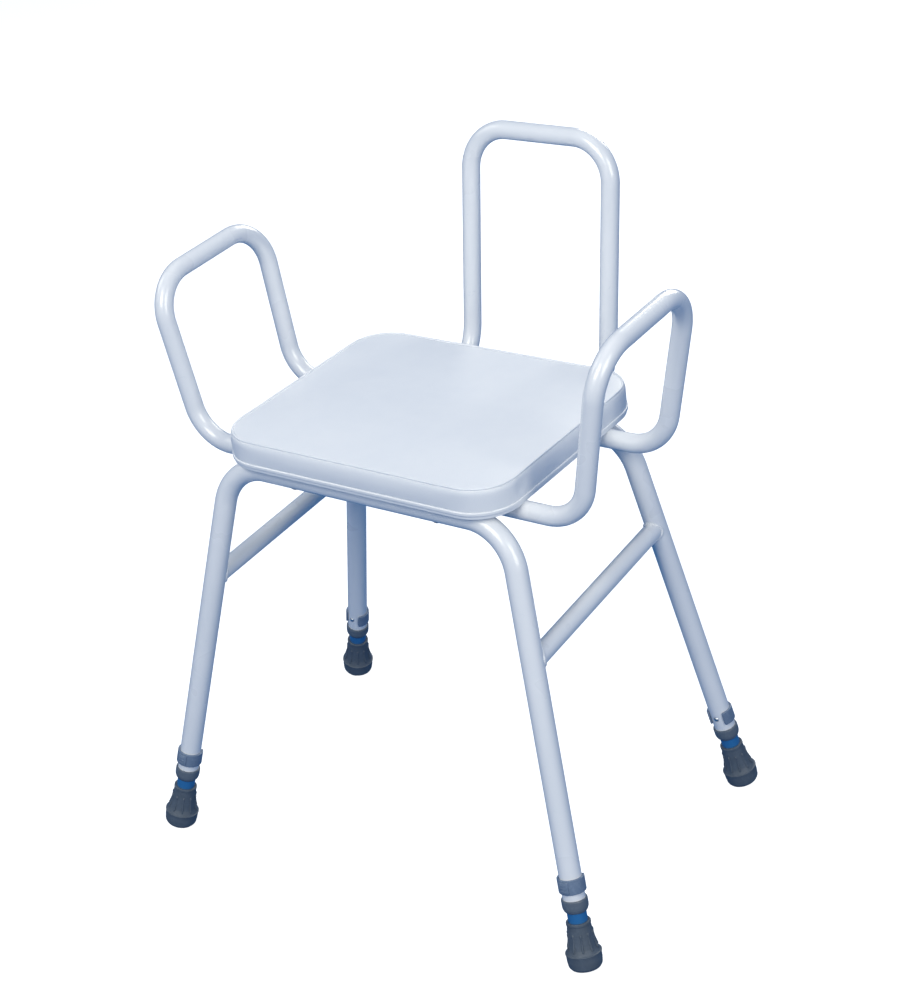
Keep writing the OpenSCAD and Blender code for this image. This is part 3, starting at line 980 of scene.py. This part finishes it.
    def saddle(self, leg: Leg, here: Vector, there: Vector, count: int = 96) -> list[Vector]:
        """The closed line on which a brace's skin meets a leg's.

        Args:
            leg: the leg.
            here: where the two middle lines meet.
            there: the brace's other end.
            count: how many points the line has.

        Returns:
            The line's points, in order.
        """
        along = (there - here).normalized()
        side = along.cross(leg.up).normalized()
        other = side.cross(along)
        radius, target = self.layout.brace_od / 2, self.layout.leg_od / 2
        points = []
        for i in range(count):
            a = math.tau * i / count
            skin = (side * math.cos(a) + other * math.sin(a)) * radius
            # solve for the distance along the brace at which the skin line is on the leg's skin
            p, d = skin - skin.dot(leg.up) * leg.up, along - along.dot(leg.up) * leg.up
            b, c = p.dot(d), p.dot(p) - target**2
            t = (-b + math.sqrt(max(0.0, b * b - d.dot(d) * c))) / d.dot(d)
            points.append(here + skin + along * t)
        return points


# ---------------------------------------------------------------- the seat


@dataclass
class Seat:
    """The padded seat: one soft piece with a welt, two rows of stitches and an edge trim."""

    layout: Layout
    trees: Trees
    shop: Paintshop
    cells_across: int = 62
    cells_deep: int = 52
    band_rows: int = 9
    seam_drop: float = 0.8 * MM
    seam_inset: float = 3.4 * MM
    shoulder: float = 8 * MM
    hem_inset: float = 1.6 * MM
    tuck: float = 1.2 * MM
    crown: float = 4.0 * MM
    band_bulge: float = 2.2 * MM
    pucker: float = 0.35 * MM
    pucker_pitch: float = 17 * MM
    crease: float = 2.2 * MM
    welt_dia: float = 2.6 * MM
    stitch_pitch: float = 3.6 * MM
    stitch_drop: float = 4.0 * MM
    trim_proud: float = 0.9 * MM
    hem_turn: float = 16 * MM
    hem_thick: float = 0.7 * MM
    staple_pitch: float = 24 * MM
    settle_frames: int = 20

    def build(self) -> None:
        """Builds the cushion and what is sewn or fitted round it."""
        cushion, seam, band = self.cushion()
        self.welt(seam)
        self.stitches(band)
        self.trim()
        self.turned_hem()

    def band_inset(self, drop: float) -> float:
        """How far inside the seat's outline the band lies, this far below the seam."""
        if drop >= self.shoulder:
            return 0.3 * MM
        return 0.3 * MM + (self.seam_inset - 0.3 * MM) * (1 - math.sqrt(1 - (1 - drop / self.shoulder) ** 2))

    def rim(self, inset: float) -> list[Vector]:
        """The seat's outline in plan, as equally spaced points that start at a corner's middle.

        Args:
            inset: how far the outline is moved in.

        Returns:
            One point for each cell round the edge of the grid, with Z = 0.
        """
        low, high = self.layout.seat
        half_x, half_y = (high[0] - low[0]) / 2 - inset, (high[1] - low[1]) / 2 - inset
        radius = self.layout.seat_corner - inset
        middle = Vector(((high[0] + low[0]) / 2, (high[1] + low[1]) / 2, 0))
        corners = [(half_x, half_y), (-half_x, half_y), (-half_x, -half_y), (half_x, -half_y)]
        start = Vector((half_x, 0, 0))
        fine = bent_path([start, *(Vector((x, y, 0)) for x, y in corners), start], [radius] * 4, 0.5 * MM)
        lengths = [0.0]
        for a, b in zip(fine, fine[1:]):
            lengths.append(lengths[-1] + (b - a).length)
        total = lengths[-1]
        count = 2 * (self.cells_across + self.cells_deep)
        first = half_y - radius + radius * math.pi / 4
        points, k = [], 0
        wanted = sorted(((first + total * i / count) % total, i) for i in range(count))
        placed: dict[int, Vector] = {}
        for distance, i in wanted:
            while lengths[k + 1] < distance:
                k += 1
            share = (distance - lengths[k]) / max(1e-12, lengths[k + 1] - lengths[k])
            placed[i] = middle + fine[k].lerp(fine[k + 1], share)
        points = [placed[i] for i in range(count)]
        return points

    def panel(self, rim: list[Vector], z: float) -> list[list[Vector]]:
        """A flat grid that fills the rim, whose outermost cells follow it."""
        across, deep = self.cells_across, self.cells_deep
        middle = sum(rim, Vector()) / len(rim)

        def on_rim(u: float, v: float) -> Vector:
            """The rim's point in the direction of (u, v), on the edge of the square from -1 to 1."""
            if v >= 1 - 1e-9:
                place = (1 - u) / 2 * across
            elif u <= -1 + 1e-9:
                place = across + (1 - v) / 2 * deep
            elif v <= -1 + 1e-9:
                place = across + deep + (1 + u) / 2 * across
            else:
                place = 2 * across + deep + (1 + v) / 2 * deep
            low = int(place + 1e-6)
            return rim[low % len(rim)].lerp(rim[(low + 1) % len(rim)], max(0.0, place - low))

        grid = []
        for j in range(deep + 1):
            row = []
            for i in range(across + 1):
                u, v = 2 * i / across - 1, 2 * j / deep - 1
                reach = max(abs(u), abs(v))
                if reach < 1e-9:
                    point = middle.copy()
                else:
                    point = middle.lerp(on_rim(u / reach, v / reach), reach)
                point.z = z
                row.append(point)
            grid.append(row)
        return grid

    def edge_order(self) -> list[tuple[int, int]]:
        """The grid's outermost cells as (column, row), in the rim's order."""
        across, deep = self.cells_across, self.cells_deep
        top = [(across - i, deep) for i in range(across)]
        left = [(0, deep - j) for j in range(deep)]
        bottom = [(i, 0) for i in range(across)]
        right = [(across, j) for j in range(deep)]
        return top + left + bottom + right

    def cushion(self) -> tuple[bpy.types.Object, list[Vector], list[Vector]]:
        """Builds the cushion, blows it up as cloth, and puckers it along the seam.

        Returns:
            The cushion, the line of its seam, and the line for the stitches below it.
        """
        low, high = self.layout.seat
        seam_z, hem_z = high[2] - self.seam_drop, low[2] - self.tuck
        board_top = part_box("seat_foam")[0][2]
        work = bmesh.new()
        top_rim, inner_rim = self.rim(self.seam_inset), self.rim(self.hem_inset)

        def add_panel(rim: list[Vector], z: float, edge: list | None) -> list:
            """Adds a grid of vertices and faces, on the edge vertices if they are there already."""
            grid = self.panel(rim, z)
            at = {cell: edge[k] for k, cell in enumerate(self.edge_order())} if edge else {}
            verts = {}
            for j, row in enumerate(grid):
                for i, point in enumerate(row):
                    verts[i, j] = at.get((i, j)) or work.verts.new(point)
            for j in range(self.cells_deep):
                for i in range(self.cells_across):
                    work.faces.new((verts[i, j], verts[i + 1, j], verts[i + 1, j + 1], verts[i, j + 1]))
            return [verts[cell] for cell in self.edge_order()]

        seam = add_panel(top_rim, seam_z, None)
        rings = [seam]
        for row in range(1, self.band_rows + 1):
            drop = (seam_z - hem_z) * (row / self.band_rows) ** 1.3
            rings.append([work.verts.new((p.x, p.y, seam_z - drop)) for p in self.rim(self.band_inset(drop))])
        rings.append([work.verts.new((p.x, p.y, hem_z)) for p in inner_rim])
        rings.append([work.verts.new((p.x, p.y, board_top)) for p in inner_rim])
        for upper, lower in zip(rings, rings[1:]):
            for k in range(len(upper)):
                n = (k + 1) % len(upper)
                work.faces.new((upper[k], lower[k], lower[n], upper[n]))
        add_panel(inner_rim, board_top, rings[-1])
        work.verts.index_update()
        held = [v.index for ring in rings[self.band_rows :] + [seam] for v in ring]
        held += [v.index for v in work.verts if abs(v.co.z - board_top) < 1e-6]
        seam_index = [v.index for v in seam]
        band_index = [[v.index for v in ring] for ring in rings[1 : self.band_rows]]
        bmesh.ops.recalc_face_normals(work, faces=work.faces)
        mesh = bpy.data.meshes.new("seat_cushion")
        work.to_mesh(mesh)
        work.free()
        piece = show("seat_cushion", mesh)
        start = [v.co.copy() for v in mesh.vertices]
        self.blow_up(piece, held)
        self.limit(mesh, start)
        self.pucker_seam(mesh)
        mesh.update()
        seam_line = [mesh.vertices[i].co.copy() for i in seam_index]
        band_line = [mesh.vertices[i].co.copy() for i in band_index[0]]
        piece.modifiers.new("rounding", "SUBSURF").levels = 1
        piece.modifiers["rounding"].render_levels = 1
        mesh.polygons.foreach_set("use_smooth", [True] * len(mesh.polygons))
        self.shop.coat(piece, Stuff.VINYL)
        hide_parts("seat_cover", "seat_foam")
        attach(piece, "root")
        LOG.info("seat cushion: %d faces before rounding", len(mesh.polygons))
        return piece, seam_line, band_line

    def blow_up(self, piece: bpy.types.Object, held: list[int]) -> None:
        """Settles the cushion as cloth with air inside, held at its seam and hem.

        Args:
            piece: the cushion, whose mesh is moved.
            held: the vertices that stay where they are.
        """
        group = piece.vertex_groups.new(name="held")
        group.add(held, 1.0, "REPLACE")
        cloth = piece.modifiers.new("cloth", "CLOTH")
        cloth.settings.quality = 6
        cloth.settings.mass = 0.35
        cloth.settings.tension_stiffness = 18
        cloth.settings.compression_stiffness = 18
        cloth.settings.shear_stiffness = 8
        cloth.settings.bending_stiffness = 2.0
        cloth.settings.use_pressure = True
        cloth.settings.uniform_pressure_force = 4.0
        cloth.settings.vertex_group_mass = "held"
        cloth.settings.effector_weights.gravity = 0.0
        cloth.collision_settings.use_collision = False
        cloth.point_cache.frame_start, cloth.point_cache.frame_end = 1, self.settle_frames
        scene = bpy.context.scene
        for number in range(1, self.settle_frames + 1):
            scene.frame_set(number)
        graph = bpy.context.evaluated_depsgraph_get()
        settled = piece.evaluated_get(graph).data
        moved = [v.co.copy() for v in settled.vertices]
        piece.modifiers.remove(cloth)
        piece.vertex_groups.clear()
        for vertex, place in zip(piece.data.vertices, moved):
            vertex.co = place
        scene.frame_set(1)

    def limit(self, mesh: bpy.types.Mesh, start: list[Vector]) -> None:
        """Scales the swelling so that the top and the band rise as far as their sizes say.

        Args:
            mesh: the cushion's mesh, after it has settled.
            start: where its vertices were before.
        """
        top_rise = max((v.co.z - s.z for v, s in zip(mesh.vertices, start)), default=0.0)
        out = [math.hypot(v.co.x - s.x, v.co.y - s.y) for v, s in zip(mesh.vertices, start)]
        seam_z = self.layout.seat[1][2] - self.seam_drop
        band = [o for o, s in zip(out, start) if s.z < seam_z - 1e-6]
        LOG.info("cushion rose %.1f mm, its band came out %.1f mm", top_rise / MM, max(band) / MM)
        lift, push = self.crown / max(top_rise, 1e-6), self.band_bulge / max(max(band), 1e-6)
        for vertex, place in zip(mesh.vertices, start):
            move = vertex.co - place
            if place.z > seam_z - 1e-6:
                vertex.co = place + Vector((move.x * 0.3, move.y * 0.3, move.z * lift))
            else:
                vertex.co = place + move * min(1.0, push)

    def pucker_seam(self, mesh: bpy.types.Mesh) -> None:
        """Adds the faint uneven puckers that sewing leaves beside the seam, and the band's soft crease."""
        seam_z = self.layout.seat[1][2] - self.seam_drop
        reach = 16 * MM
        low, high = self.layout.seat
        for vertex in mesh.vertices:
            p = vertex.co
            if p.z < low[2] + 3 * MM:
                continue
            edge = min(high[0] - abs(p.x), p.y - low[1], high[1] - p.y, key=lambda d: d)
            near = max(0.0, 1 - max(0.0, edge) / reach)
            if near <= 0:
                continue
            wave = noise.noise(p / self.pucker_pitch + Vector((3.1, 7.7, 1.9)))
            vertex.co.z += self.pucker * wave * near * (1 if p.z > seam_z - 1e-6 else 0.4)
            # the band folds in softly just behind the front corner on the left
            along = (p.y - low[1] - self.layout.seat_corner - 6 * MM) / (7 * MM)
            if p.x > high[0] - 8 * MM and p.z < seam_z - 1e-6:
                height = (p.z - low[2]) / (seam_z - low[2])
                vertex.co.x -= self.crease * math.exp(-(along**2)) * math.sin(math.pi * min(1.0, height * 1.1))

    def welt(self, seam: list[Vector]) -> None:
        """Lays the welt on the seam."""
        ring = [
            Vector((math.cos(math.tau * i / 14), math.sin(math.tau * i / 14), 0)) * (self.welt_dia / 2)
            for i in range(14)
        ]
        profile = profile_object("welt_round", ring)
        swell = [1 + 0.06 * noise.noise(p / (9 * MM)) for p in seam]
        piece = grow(
            "seat_piping",
            self.trees.strip,
            path_mesh("seam", seam, closed=True, swell=swell),
            Profile=profile,
            Material=self.shop.made[Stuff.VINYL],
        )
        bpy.data.objects.remove(profile)
        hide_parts("seat_welt")
        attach(piece, "root")
        LOG.info("welt: %d faces", len(piece.data.polygons))

    def stitches(self, band: list[Vector]) -> None:
        """Sews a row of stitches round the band, just below the welt."""
        work = bmesh.new()
        bmesh.ops.create_icosphere(work, subdivisions=1, radius=1.0)
        bmesh.ops.scale(work, vec=Vector((1.15, 0.3, 0.3)) * MM, verts=work.verts)
        mesh = bpy.data.meshes.new("stitch")
        work.to_mesh(mesh)
        work.free()
        stitch = show("stitch", mesh)
        piece = grow(
            "seat_stitches",
            self.trees.stitches,
            path_mesh("stitch_line", band, closed=True),
            Stitch=stitch,
            Pitch=self.stitch_pitch,
            Material=self.shop.made[Stuff.VINYL],
        )
        bpy.data.objects.remove(stitch)
        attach(piece, "root")
        LOG.info("stitches: %d faces", len(piece.data.polygons))

    def trim(self) -> None:
        """Fits the edge trim: a rounded strip that covers the vinyl's lower edge."""
        low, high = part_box("seat_edge_trim")
        height = high[2] - low[2]
        wide = self.trim_proud + 1.6 * MM
        shape = outline(
            [(-wide / 2, -height / 2), (wide / 2, -height / 2), (wide / 2, height / 2), (-wide / 2, height / 2)],
            1.2 * MM,
            0.3 * MM,
        )
        profile = profile_object("trim_round", shape)
        line = self.rim(wide / 2 - self.trim_proud)
        middle_z = (low[2] + high[2]) / 2
        path = [Vector((p.x, p.y, middle_z)) for p in line]
        piece = grow(
            "seat_trim",
            self.trees.strip,
            path_mesh("trim_line", path, closed=True),
            Profile=profile,
            Material=self.shop.made[Stuff.TRIM],
        )
        bpy.data.objects.remove(profile)
        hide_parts("seat_edge_trim")
        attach(piece, "root")
        LOG.info("trim: %d faces", len(piece.data.polygons))

    def turned_hem(self) -> None:
        """Turns the vinyl under the board, round its lower edge, and staples it there."""
        low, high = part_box("seat_board")
        trim_low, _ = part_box("seat_edge_trim")
        rise, thick = trim_low[2] + 1 * MM - low[2], self.hem_thick
        # across is outwards and up is downwards, as the sweep has them
        shape = outline(
            [
                (0, -rise), (0, thick), (-self.hem_turn, thick), (-self.hem_turn, 0.05 * MM),
                (-thick, 0.05 * MM), (-thick, -rise),
            ],
            0.3 * MM,
            0.15 * MM,
        )  # fmt: skip
        profile = profile_object("hem_round", shape)
        path = [Vector((p.x, p.y, low[2])) for p in self.rim(0.6 * MM)]
        piece = grow(
            "seat_turned_hem",
            self.trees.strip,
            path_mesh("hem_line", path, closed=True),
            Profile=profile,
            Material=self.shop.made[Stuff.VINYL],
        )
        bpy.data.objects.remove(profile)
        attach(piece, "root")
        wire = self.staple()
        line = [Vector((p.x, p.y, low[2] - thick)) for p in self.rim(self.hem_turn * 0.6)]
        staples = grow(
            "seat_staples",
            self.trees.stitches,
            path_mesh("staple_line", line, closed=True),
            Stitch=wire,
            Pitch=self.staple_pitch,
            Material=self.shop.made[Stuff.ZINC],
        )
        bpy.data.objects.remove(wire)
        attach(staples, "root")
        LOG.info("hem: %d faces, staples: %d faces", len(piece.data.polygons), len(staples.data.polygons))

    def staple(self) -> bpy.types.Object:
        """One staple's crown, a flattened wire 10 mm long that lies along X."""
        work = bmesh.new()
        bmesh.ops.create_cube(work, size=1.0)
        bmesh.ops.scale(work, vec=Vector((10, 1.2, 0.8)) * MM, verts=work.verts)
        bmesh.ops.bevel(work, geom=work.edges[:], offset=0.3 * MM, segments=2, profile=0.5, affect="EDGES")
        mesh = bpy.data.meshes.new("staple")
        work.to_mesh(mesh)
        work.free()
        return show("staple", mesh)


@dataclass
class SeatBolts:
    """The short bolts under the seat, with low heads on the two that show under the front bar."""

    layout: Layout
    shop: Paintshop
    head_share: float = 0.35

    def build(self) -> None:
        """Copies the bolts from their CAD node and flattens the front pair's heads."""
        work = bmesh.new()
        work.from_mesh(frame["nodes"]["seat_bolts"].data)
        bmesh.ops.remove_doubles(work, verts=work.verts, dist=0.002 * MM)
        under = self.layout.bar_z - self.layout.leg_od / 2
        middle = self.layout.bar_y("front")
        for vertex in work.verts:
            if abs(vertex.co.y - middle) < 8 * MM and vertex.co.z < under + 0.1 * MM:
                vertex.co.z = under - (under - vertex.co.z) * self.head_share
        for face in work.faces:
            face.smooth = True
        for edge in work.edges:
            edge.smooth = edge.calc_face_angle(0) < math.radians(30)
        mesh = bpy.data.meshes.new("short_bolts")
        work.to_mesh(mesh)
        work.free()
        piece = show("short_bolts", mesh)
        self.shop.coat(piece, Stuff.ZINC)
        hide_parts("seat_bolts")
        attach(piece, "root")
        LOG.info("short bolts: %d faces", len(mesh.polygons))


# ---------------------------------------------------------------- the feet


@dataclass
class Ferrule:
    """A ribbed rubber foot, turned round the leg and bedded flat on the floor."""

    layout: Layout
    trees: Trees
    shop: Paintshop
    length: float = 55 * MM
    base_dia: float = 41 * MM
    base_height: float = 19 * MM
    sole: float = 6 * MM
    rib_count: int = 10
    rib_width: float = 2.4 * MM
    soft_edge: float = 0.7 * MM

    def build(self) -> None:
        """Builds a ferrule for each leg."""
        for leg in self.layout.legs():
            self.foot(leg)

    def profile(self) -> list[Vector]:
        """The outline from the middle of the sole, up the outside and down the bore to its floor."""
        base, neck, top, step = self.base_dia / 2, self.layout.slider_od / 2 + 2.4 * MM, self.length, self.base_height
        bore = self.layout.slider_od / 2
        points = [
            (0, 0), (base - 4 * MM, 0), (base - 1.5 * MM, 3.4 * MM), (base - 0.7 * MM, 10 * MM),
            (base - 0.6 * MM, step - 1.6 * MM), (base, step - 1.3 * MM), (base, step), (base - 1.3 * MM, step + 0.4 * MM),
            (base - 4 * MM, step + 6 * MM), (base - 4.9 * MM, step + 10.5 * MM), (neck, top - 4.2 * MM),
            (neck + 0.5 * MM, top - 3.2 * MM), (neck + 0.5 * MM, top - 0.2 * MM), (neck - 0.2 * MM, top),
            (bore, top), (bore, self.sole), (0, self.sole),
        ]  # fmt: skip
        corners = [Vector((r, 0, z)) for r, z in points]
        radii = [2 * MM, 4 * MM, 5 * MM, 0.25 * MM, 0.3 * MM, 0.5 * MM, 0.5 * MM, 4 * MM, 6 * MM, 0.8 * MM]
        radii += [0.5 * MM, 0.9 * MM, 0.3 * MM, 0.3 * MM, 0.5 * MM]
        return bent_path(corners, radii, 0.45 * MM)

    def rib(self) -> bpy.types.Mesh:
        """One upright rib with a rounded nub at its top, on the side towards +X."""
        base, step, top = self.base_dia / 2, self.base_height, self.length
        line = [
            Vector((base - 2.6 * MM, 0, step + 3 * MM)),
            Vector((base - 4.4 * MM, 0, step + 9 * MM)),
            Vector((base - 5.6 * MM, 0, step + 14 * MM)),
            Vector((self.layout.slider_od / 2 + 2.9 * MM, 0, top - 11 * MM)),
        ]
        path = bent_path(line, [9 * MM, 9 * MM], 0.9 * MM)
        spaced = []
        for a, b in zip(path, path[1:]):
            pieces = max(1, round((b - a).length / (1.2 * MM)))
            spaced += [a.lerp(b, i / pieces) for i in range(pieces)]
        spaced.append(path[-1])
        work, rings = bmesh.new(), []
        last = len(spaced) - 1
        for i, point in enumerate(spaced):
            share = i / last
            ends = min(1.0, math.sqrt(max(0.0, 1 - (1 - min(share, 1 - share) / 0.08) ** 2))) if min(share, 1 - share) < 0.08 else 1.0
            nub = 0.55 * math.exp(-(((share - 0.9) / 0.07) ** 2))
            wide, deep = self.rib_width / 2 * (1 + 0.4 * nub) * ends, 1.0 * MM * (1 + nub) * ends + 0.05 * MM
            rings.append(
                [
                    work.verts.new(point + Vector((deep * math.cos(a), wide * math.sin(a), 0)))
                    for a in (math.tau * k / 12 for k in range(12))
                ]
            )
        for low, high in zip(rings, rings[1:]):
            for k in range(12):
                work.faces.new((low[k], low[(k + 1) % 12], high[(k + 1) % 12], high[k]))
        work.faces.new(list(reversed(rings[0])))
        work.faces.new(rings[-1])
        bmesh.ops.recalc_face_normals(work, faces=work.faces)
        mesh = bpy.data.meshes.new("rib")
        work.to_mesh(mesh)
        work.free()
        return mesh

    def foot(self, leg: Leg) -> None:
        """Builds one ferrule on its leg.

        Args:
            leg: the leg that it is on.
        """
        body = show("ferrule_body", lathe("ferrule_body", self.profile(), 72))
        piece = grow(
            f"rubber_foot_{leg.name}",
            self.trees.ring,
            self.rib(),
            Count=self.rib_count,
            Body=body,
            Material=self.shop.made[Stuff.RUBBER],
        )
        bpy.data.objects.remove(body)
        piece.data.transform(leg.frame_at())
        for vertex in piece.data.vertices:
            vertex.co.z = max(0.0, vertex.co.z)
        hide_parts("ferrule_" + leg.name)
        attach(piece, "leg_" + leg.name)
        LOG.info("ferrule %s: %d faces", leg.name, len(piece.data.polygons))


@dataclass
class LegClip:
    """The spring clip round a leg: a band that is open on one side, with a raised spine opposite."""

    layout: Layout
    trees: Trees
    shop: Paintshop
    fit: float = 0.1 * MM
    thick: float = 2.6 * MM
    height: float = 17 * MM
    gap: float = math.radians(76)
    spine_width: float = 12 * MM
    spine_thick: float = 1.4 * MM
    grip_count: int = 3

    def build(self) -> None:
        """Builds a clip for each leg."""
        for leg in self.layout.legs():
            self.clip(leg)

    def band(self) -> bpy.types.Object:
        """The band, in the leg's own frame, with its ends drawn in to a rounded edge."""
        middle = self.layout.leg_od / 2 + self.fit + self.thick / 2
        steps, round_off = 120, 1.4 * MM
        half_turn = math.pi - self.gap / 2
        angles = [-half_turn + 2 * half_turn * i / steps for i in range(steps + 1)]
        for i in range(1, 6):  # closer points where the ends are rounded
            near = round_off * (1 - math.cos(math.pi / 2 * i / 6)) / middle
            angles += [-half_turn + near, half_turn - near]
        angles.sort()
        swell = []
        for a in angles:
            depth = min(1.0, (half_turn - abs(a)) * middle / round_off)
            swell.append(max(0.12, math.sqrt(1 - (1 - depth) ** 2)))
        path = [Vector((middle * math.cos(a), middle * math.sin(a), 0)) for a in angles]
        w, h = self.thick / 2, self.height / 2
        shape = outline([(-w, -h), (w, -h), (w, h), (-w, h)], 0.75 * MM, 0.2 * MM)
        profile = profile_object("band_round", shape)
        piece = grow(
            "band",
            self.trees.strip,
            path_mesh("band_line", path, swell=swell),
            Profile=profile,
            Material=self.shop.made[Stuff.CLIP],
        )
        bpy.data.objects.remove(profile)
        return piece

    def block(self, low: Vector, high: Vector, bend_to: float, bevel: float) -> bmesh.types.BMesh:
        """A rounded block whose outer face is wrapped to a radius round the leg.

        Args:
            low: the lowest corner, in the leg's own frame.
            high: the highest corner.
            bend_to: the radius that the outer face follows.
            bevel: the radius of its edges.

        Returns:
            The block's mesh, for joining.
        """
        work = bmesh.new()
        bmesh.ops.create_cube(work, size=1.0)
        size, centre = high - low, (high + low) / 2
        bmesh.ops.scale(work, vec=size, verts=work.verts)
        bmesh.ops.subdivide_edges(
            work, edges=[e for e in work.edges if abs((e.verts[0].co - e.verts[1].co).y) > 1e-6], cuts=9, use_grid_fill=True
        )
        bmesh.ops.translate(work, vec=centre, verts=work.verts)
        for vertex in work.verts:
            if vertex.co.x > centre.x:
                vertex.co.x = math.sqrt(max(1e-9, bend_to**2 - vertex.co.y**2))
        sharp = [e for e in work.edges if e.calc_face_angle(0) > math.radians(45)]
        bmesh.ops.bevel(work, geom=sharp, offset=bevel, segments=3, profile=0.5, affect="EDGES")
        return work

    def clip(self, leg: Leg) -> None:
        """Builds one clip: band, spine and grip ribs, in one piece."""
        piece = self.band()
        outer = self.layout.leg_od / 2 + self.fit + self.thick
        half, width = self.height / 2, self.spine_width / 2
        parts = [
            (Vector((outer - 1.6 * MM, -width, -half + 2 * MM)), Vector((outer, width, half - 2 * MM)), outer + self.spine_thick, 0.6 * MM)
        ]
        for i in range(self.grip_count):
            z = (i - (self.grip_count - 1) / 2) * 3.6 * MM
            parts.append(
                (Vector((outer - 1 * MM, -width + 2 * MM, z - 0.6 * MM)), Vector((outer, width - 2 * MM, z + 0.6 * MM)),
                 outer + self.spine_thick + 0.5 * MM, 0.25 * MM)
            )  # fmt: skip
        whole = bmesh.new()
        whole.from_mesh(piece.data)
        for low, high, radius, bevel in parts:
            block = self.block(low, high, radius, bevel)
            spare = bpy.data.meshes.new("block")
            block.to_mesh(spare)
            block.free()
            whole.from_mesh(spare)
            bpy.data.meshes.remove(spare)
        bmesh.ops.recalc_face_normals(whole, faces=whole.faces)
        for face in whole.faces:
            face.smooth = True
            face.material_index = 0
        for edge in whole.edges:
            edge.smooth = edge.calc_face_angle(0) < math.radians(40)
        whole.to_mesh(piece.data)
        whole.free()
        piece.name = piece.data.name = f"spring_clip_{leg.name}"
        piece.data.transform(leg.frame_at(self.layout.pin_place))
        self.shop.coat(piece, Stuff.CLIP)
        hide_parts("leg_clip_" + leg.name)
        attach(piece, "clip_" + leg.name)
        LOG.info("clip %s: %d faces", leg.name, len(piece.data.polygons))


# ---------------------------------------------------------------- the studio


@dataclass
class Studio:
    """A pale floor, soft lights and the camera."""

    lens: float = 73.8
    camera_place: tuple[float, float, float] = (1.2808, -1.6715, 1.5291)
    camera_aim: tuple[float, float, float] = (0.0337, -0.0445, 0.4256)
    camera_roll: float = -7.175
    floor_half: float = 14.0
    floor_glow: float = 0.9
    shade_colour: str = "#4398EC"
    shade_strength: float = 0.38

    def build(self) -> None:
        """Sets up everything that is not the stool."""
        self.floor()
        self.sky()
        warm = (1.0, 0.945, 0.81)
        self.light("key", (0.1, -2.9, 2.9), 1.9, 80, warm)
        self.light("top", (-0.2, 0.2, 3.2), 2.0, 8, warm)
        self.light("fill", (3.0, -1.3, 2.2), 1.9, 60, warm)
        self.light("left", (-2.8, -0.8, 2.6), 1.7, 24, warm)
        self.light("back", (-0.4, 3.2, 2.0), 1.9, 64, warm)
        self.camera()
        bpy.context.scene.view_settings.view_transform = "Standard"

    def floor(self) -> None:
        """Lays the floor, which shows pale to the camera."""
        h = self.floor_half
        mesh = bpy.data.meshes.new("floor")
        mesh.from_pydata([(-h, -h, -0.0005), (h, -h, -0.0005), (h, h, -0.0005), (-h, h, -0.0005)], [], [(0, 1, 2, 3)])
        floor = show("floor", mesh)
        paint = bpy.data.materials.new("pale_floor")
        paint.use_nodes = True
        shader = paint.node_tree.nodes["Principled BSDF"]
        shader.inputs["Base Color"].default_value = linear("#AEB2B6")
        shader.inputs["Roughness"].default_value = 0.9
        shader.inputs["Specular IOR Level"].default_value = 0.0
        shader.inputs["Emission Color"].default_value = (1, 1, 1, 1)
        shader.inputs["Emission Strength"].default_value = self.floor_glow
        mesh.materials.append(paint)
        floor.visible_diffuse = floor.visible_glossy = False

    def sky(self) -> None:
        """Fills the shade with an even cool light, behind a pale wall."""
        world = bpy.data.worlds.new("studio")
        world.use_nodes = True
        tree = world.node_tree
        shade = tree.nodes["Background"]
        shade.inputs["Color"].default_value = linear(self.shade_colour)
        shade.inputs["Strength"].default_value = self.shade_strength
        wall = add_node(tree, "ShaderNodeBackground", {"Color": linear("#FBFCFD"), "Strength": 1.0}).outputs[0]
        seen = add_node(tree, "ShaderNodeLightPath").outputs["Is Camera Ray"]
        both = add_node(tree, "ShaderNodeMixShader", {0: seen, 1: shade.outputs[0], 2: wall}).outputs[0]
        tree.links.new(both, tree.nodes["World Output"].inputs["Surface"])
        bpy.context.scene.world = world

    def light(self, name: str, place: tuple, size: float, power: float, colour: tuple) -> None:
        """Adds a square soft light that faces the seat."""
        data = bpy.data.lights.new(name, "AREA")
        data.shape, data.size, data.energy, data.color = "SQUARE", size, power, colour
        lamp = bpy.data.objects.new(name, data)
        bpy.context.scene.collection.objects.link(lamp)
        lamp.location = place
        lamp.rotation_euler = (Vector((0, 0, 0.4)) - Vector(place)).to_track_quat("-Z", "Y").to_euler()

    def camera(self) -> None:
        """Places the camera and makes it the scene's."""
        data = bpy.data.cameras.new("camera")
        data.lens, data.clip_start, data.clip_end = self.lens, 0.05, 60.0
        eye = bpy.data.objects.new("camera", data)
        bpy.context.scene.collection.objects.link(eye)
        place, aim = Vector(self.camera_place), Vector(self.camera_aim)
        facing = (aim - place).to_track_quat("-Z", "Y").to_matrix().to_4x4()
        eye.matrix_world = Matrix.Translation(place) @ facing @ Matrix.Rotation(math.radians(self.camera_roll), 4, "Z")
        bpy.context.scene.camera = eye


def main() -> None:
    """Builds and dresses the stool, and sets the studio."""
    logging.basicConfig(level=logging.INFO, format="%(name)s: %(message)s")
    layout, trees, shop = Layout(), Trees(), Paintshop()
    shop.coat_cad_nodes()
    TubeWork(layout, trees, shop).build()
    Seat(layout, trees, shop).build()
    SeatBolts(layout, shop).build()
    Ferrule(layout, trees, shop).build()
    LegClip(layout, trees, shop).build()
    Studio().build()


if __name__ == "__main__":
    main()
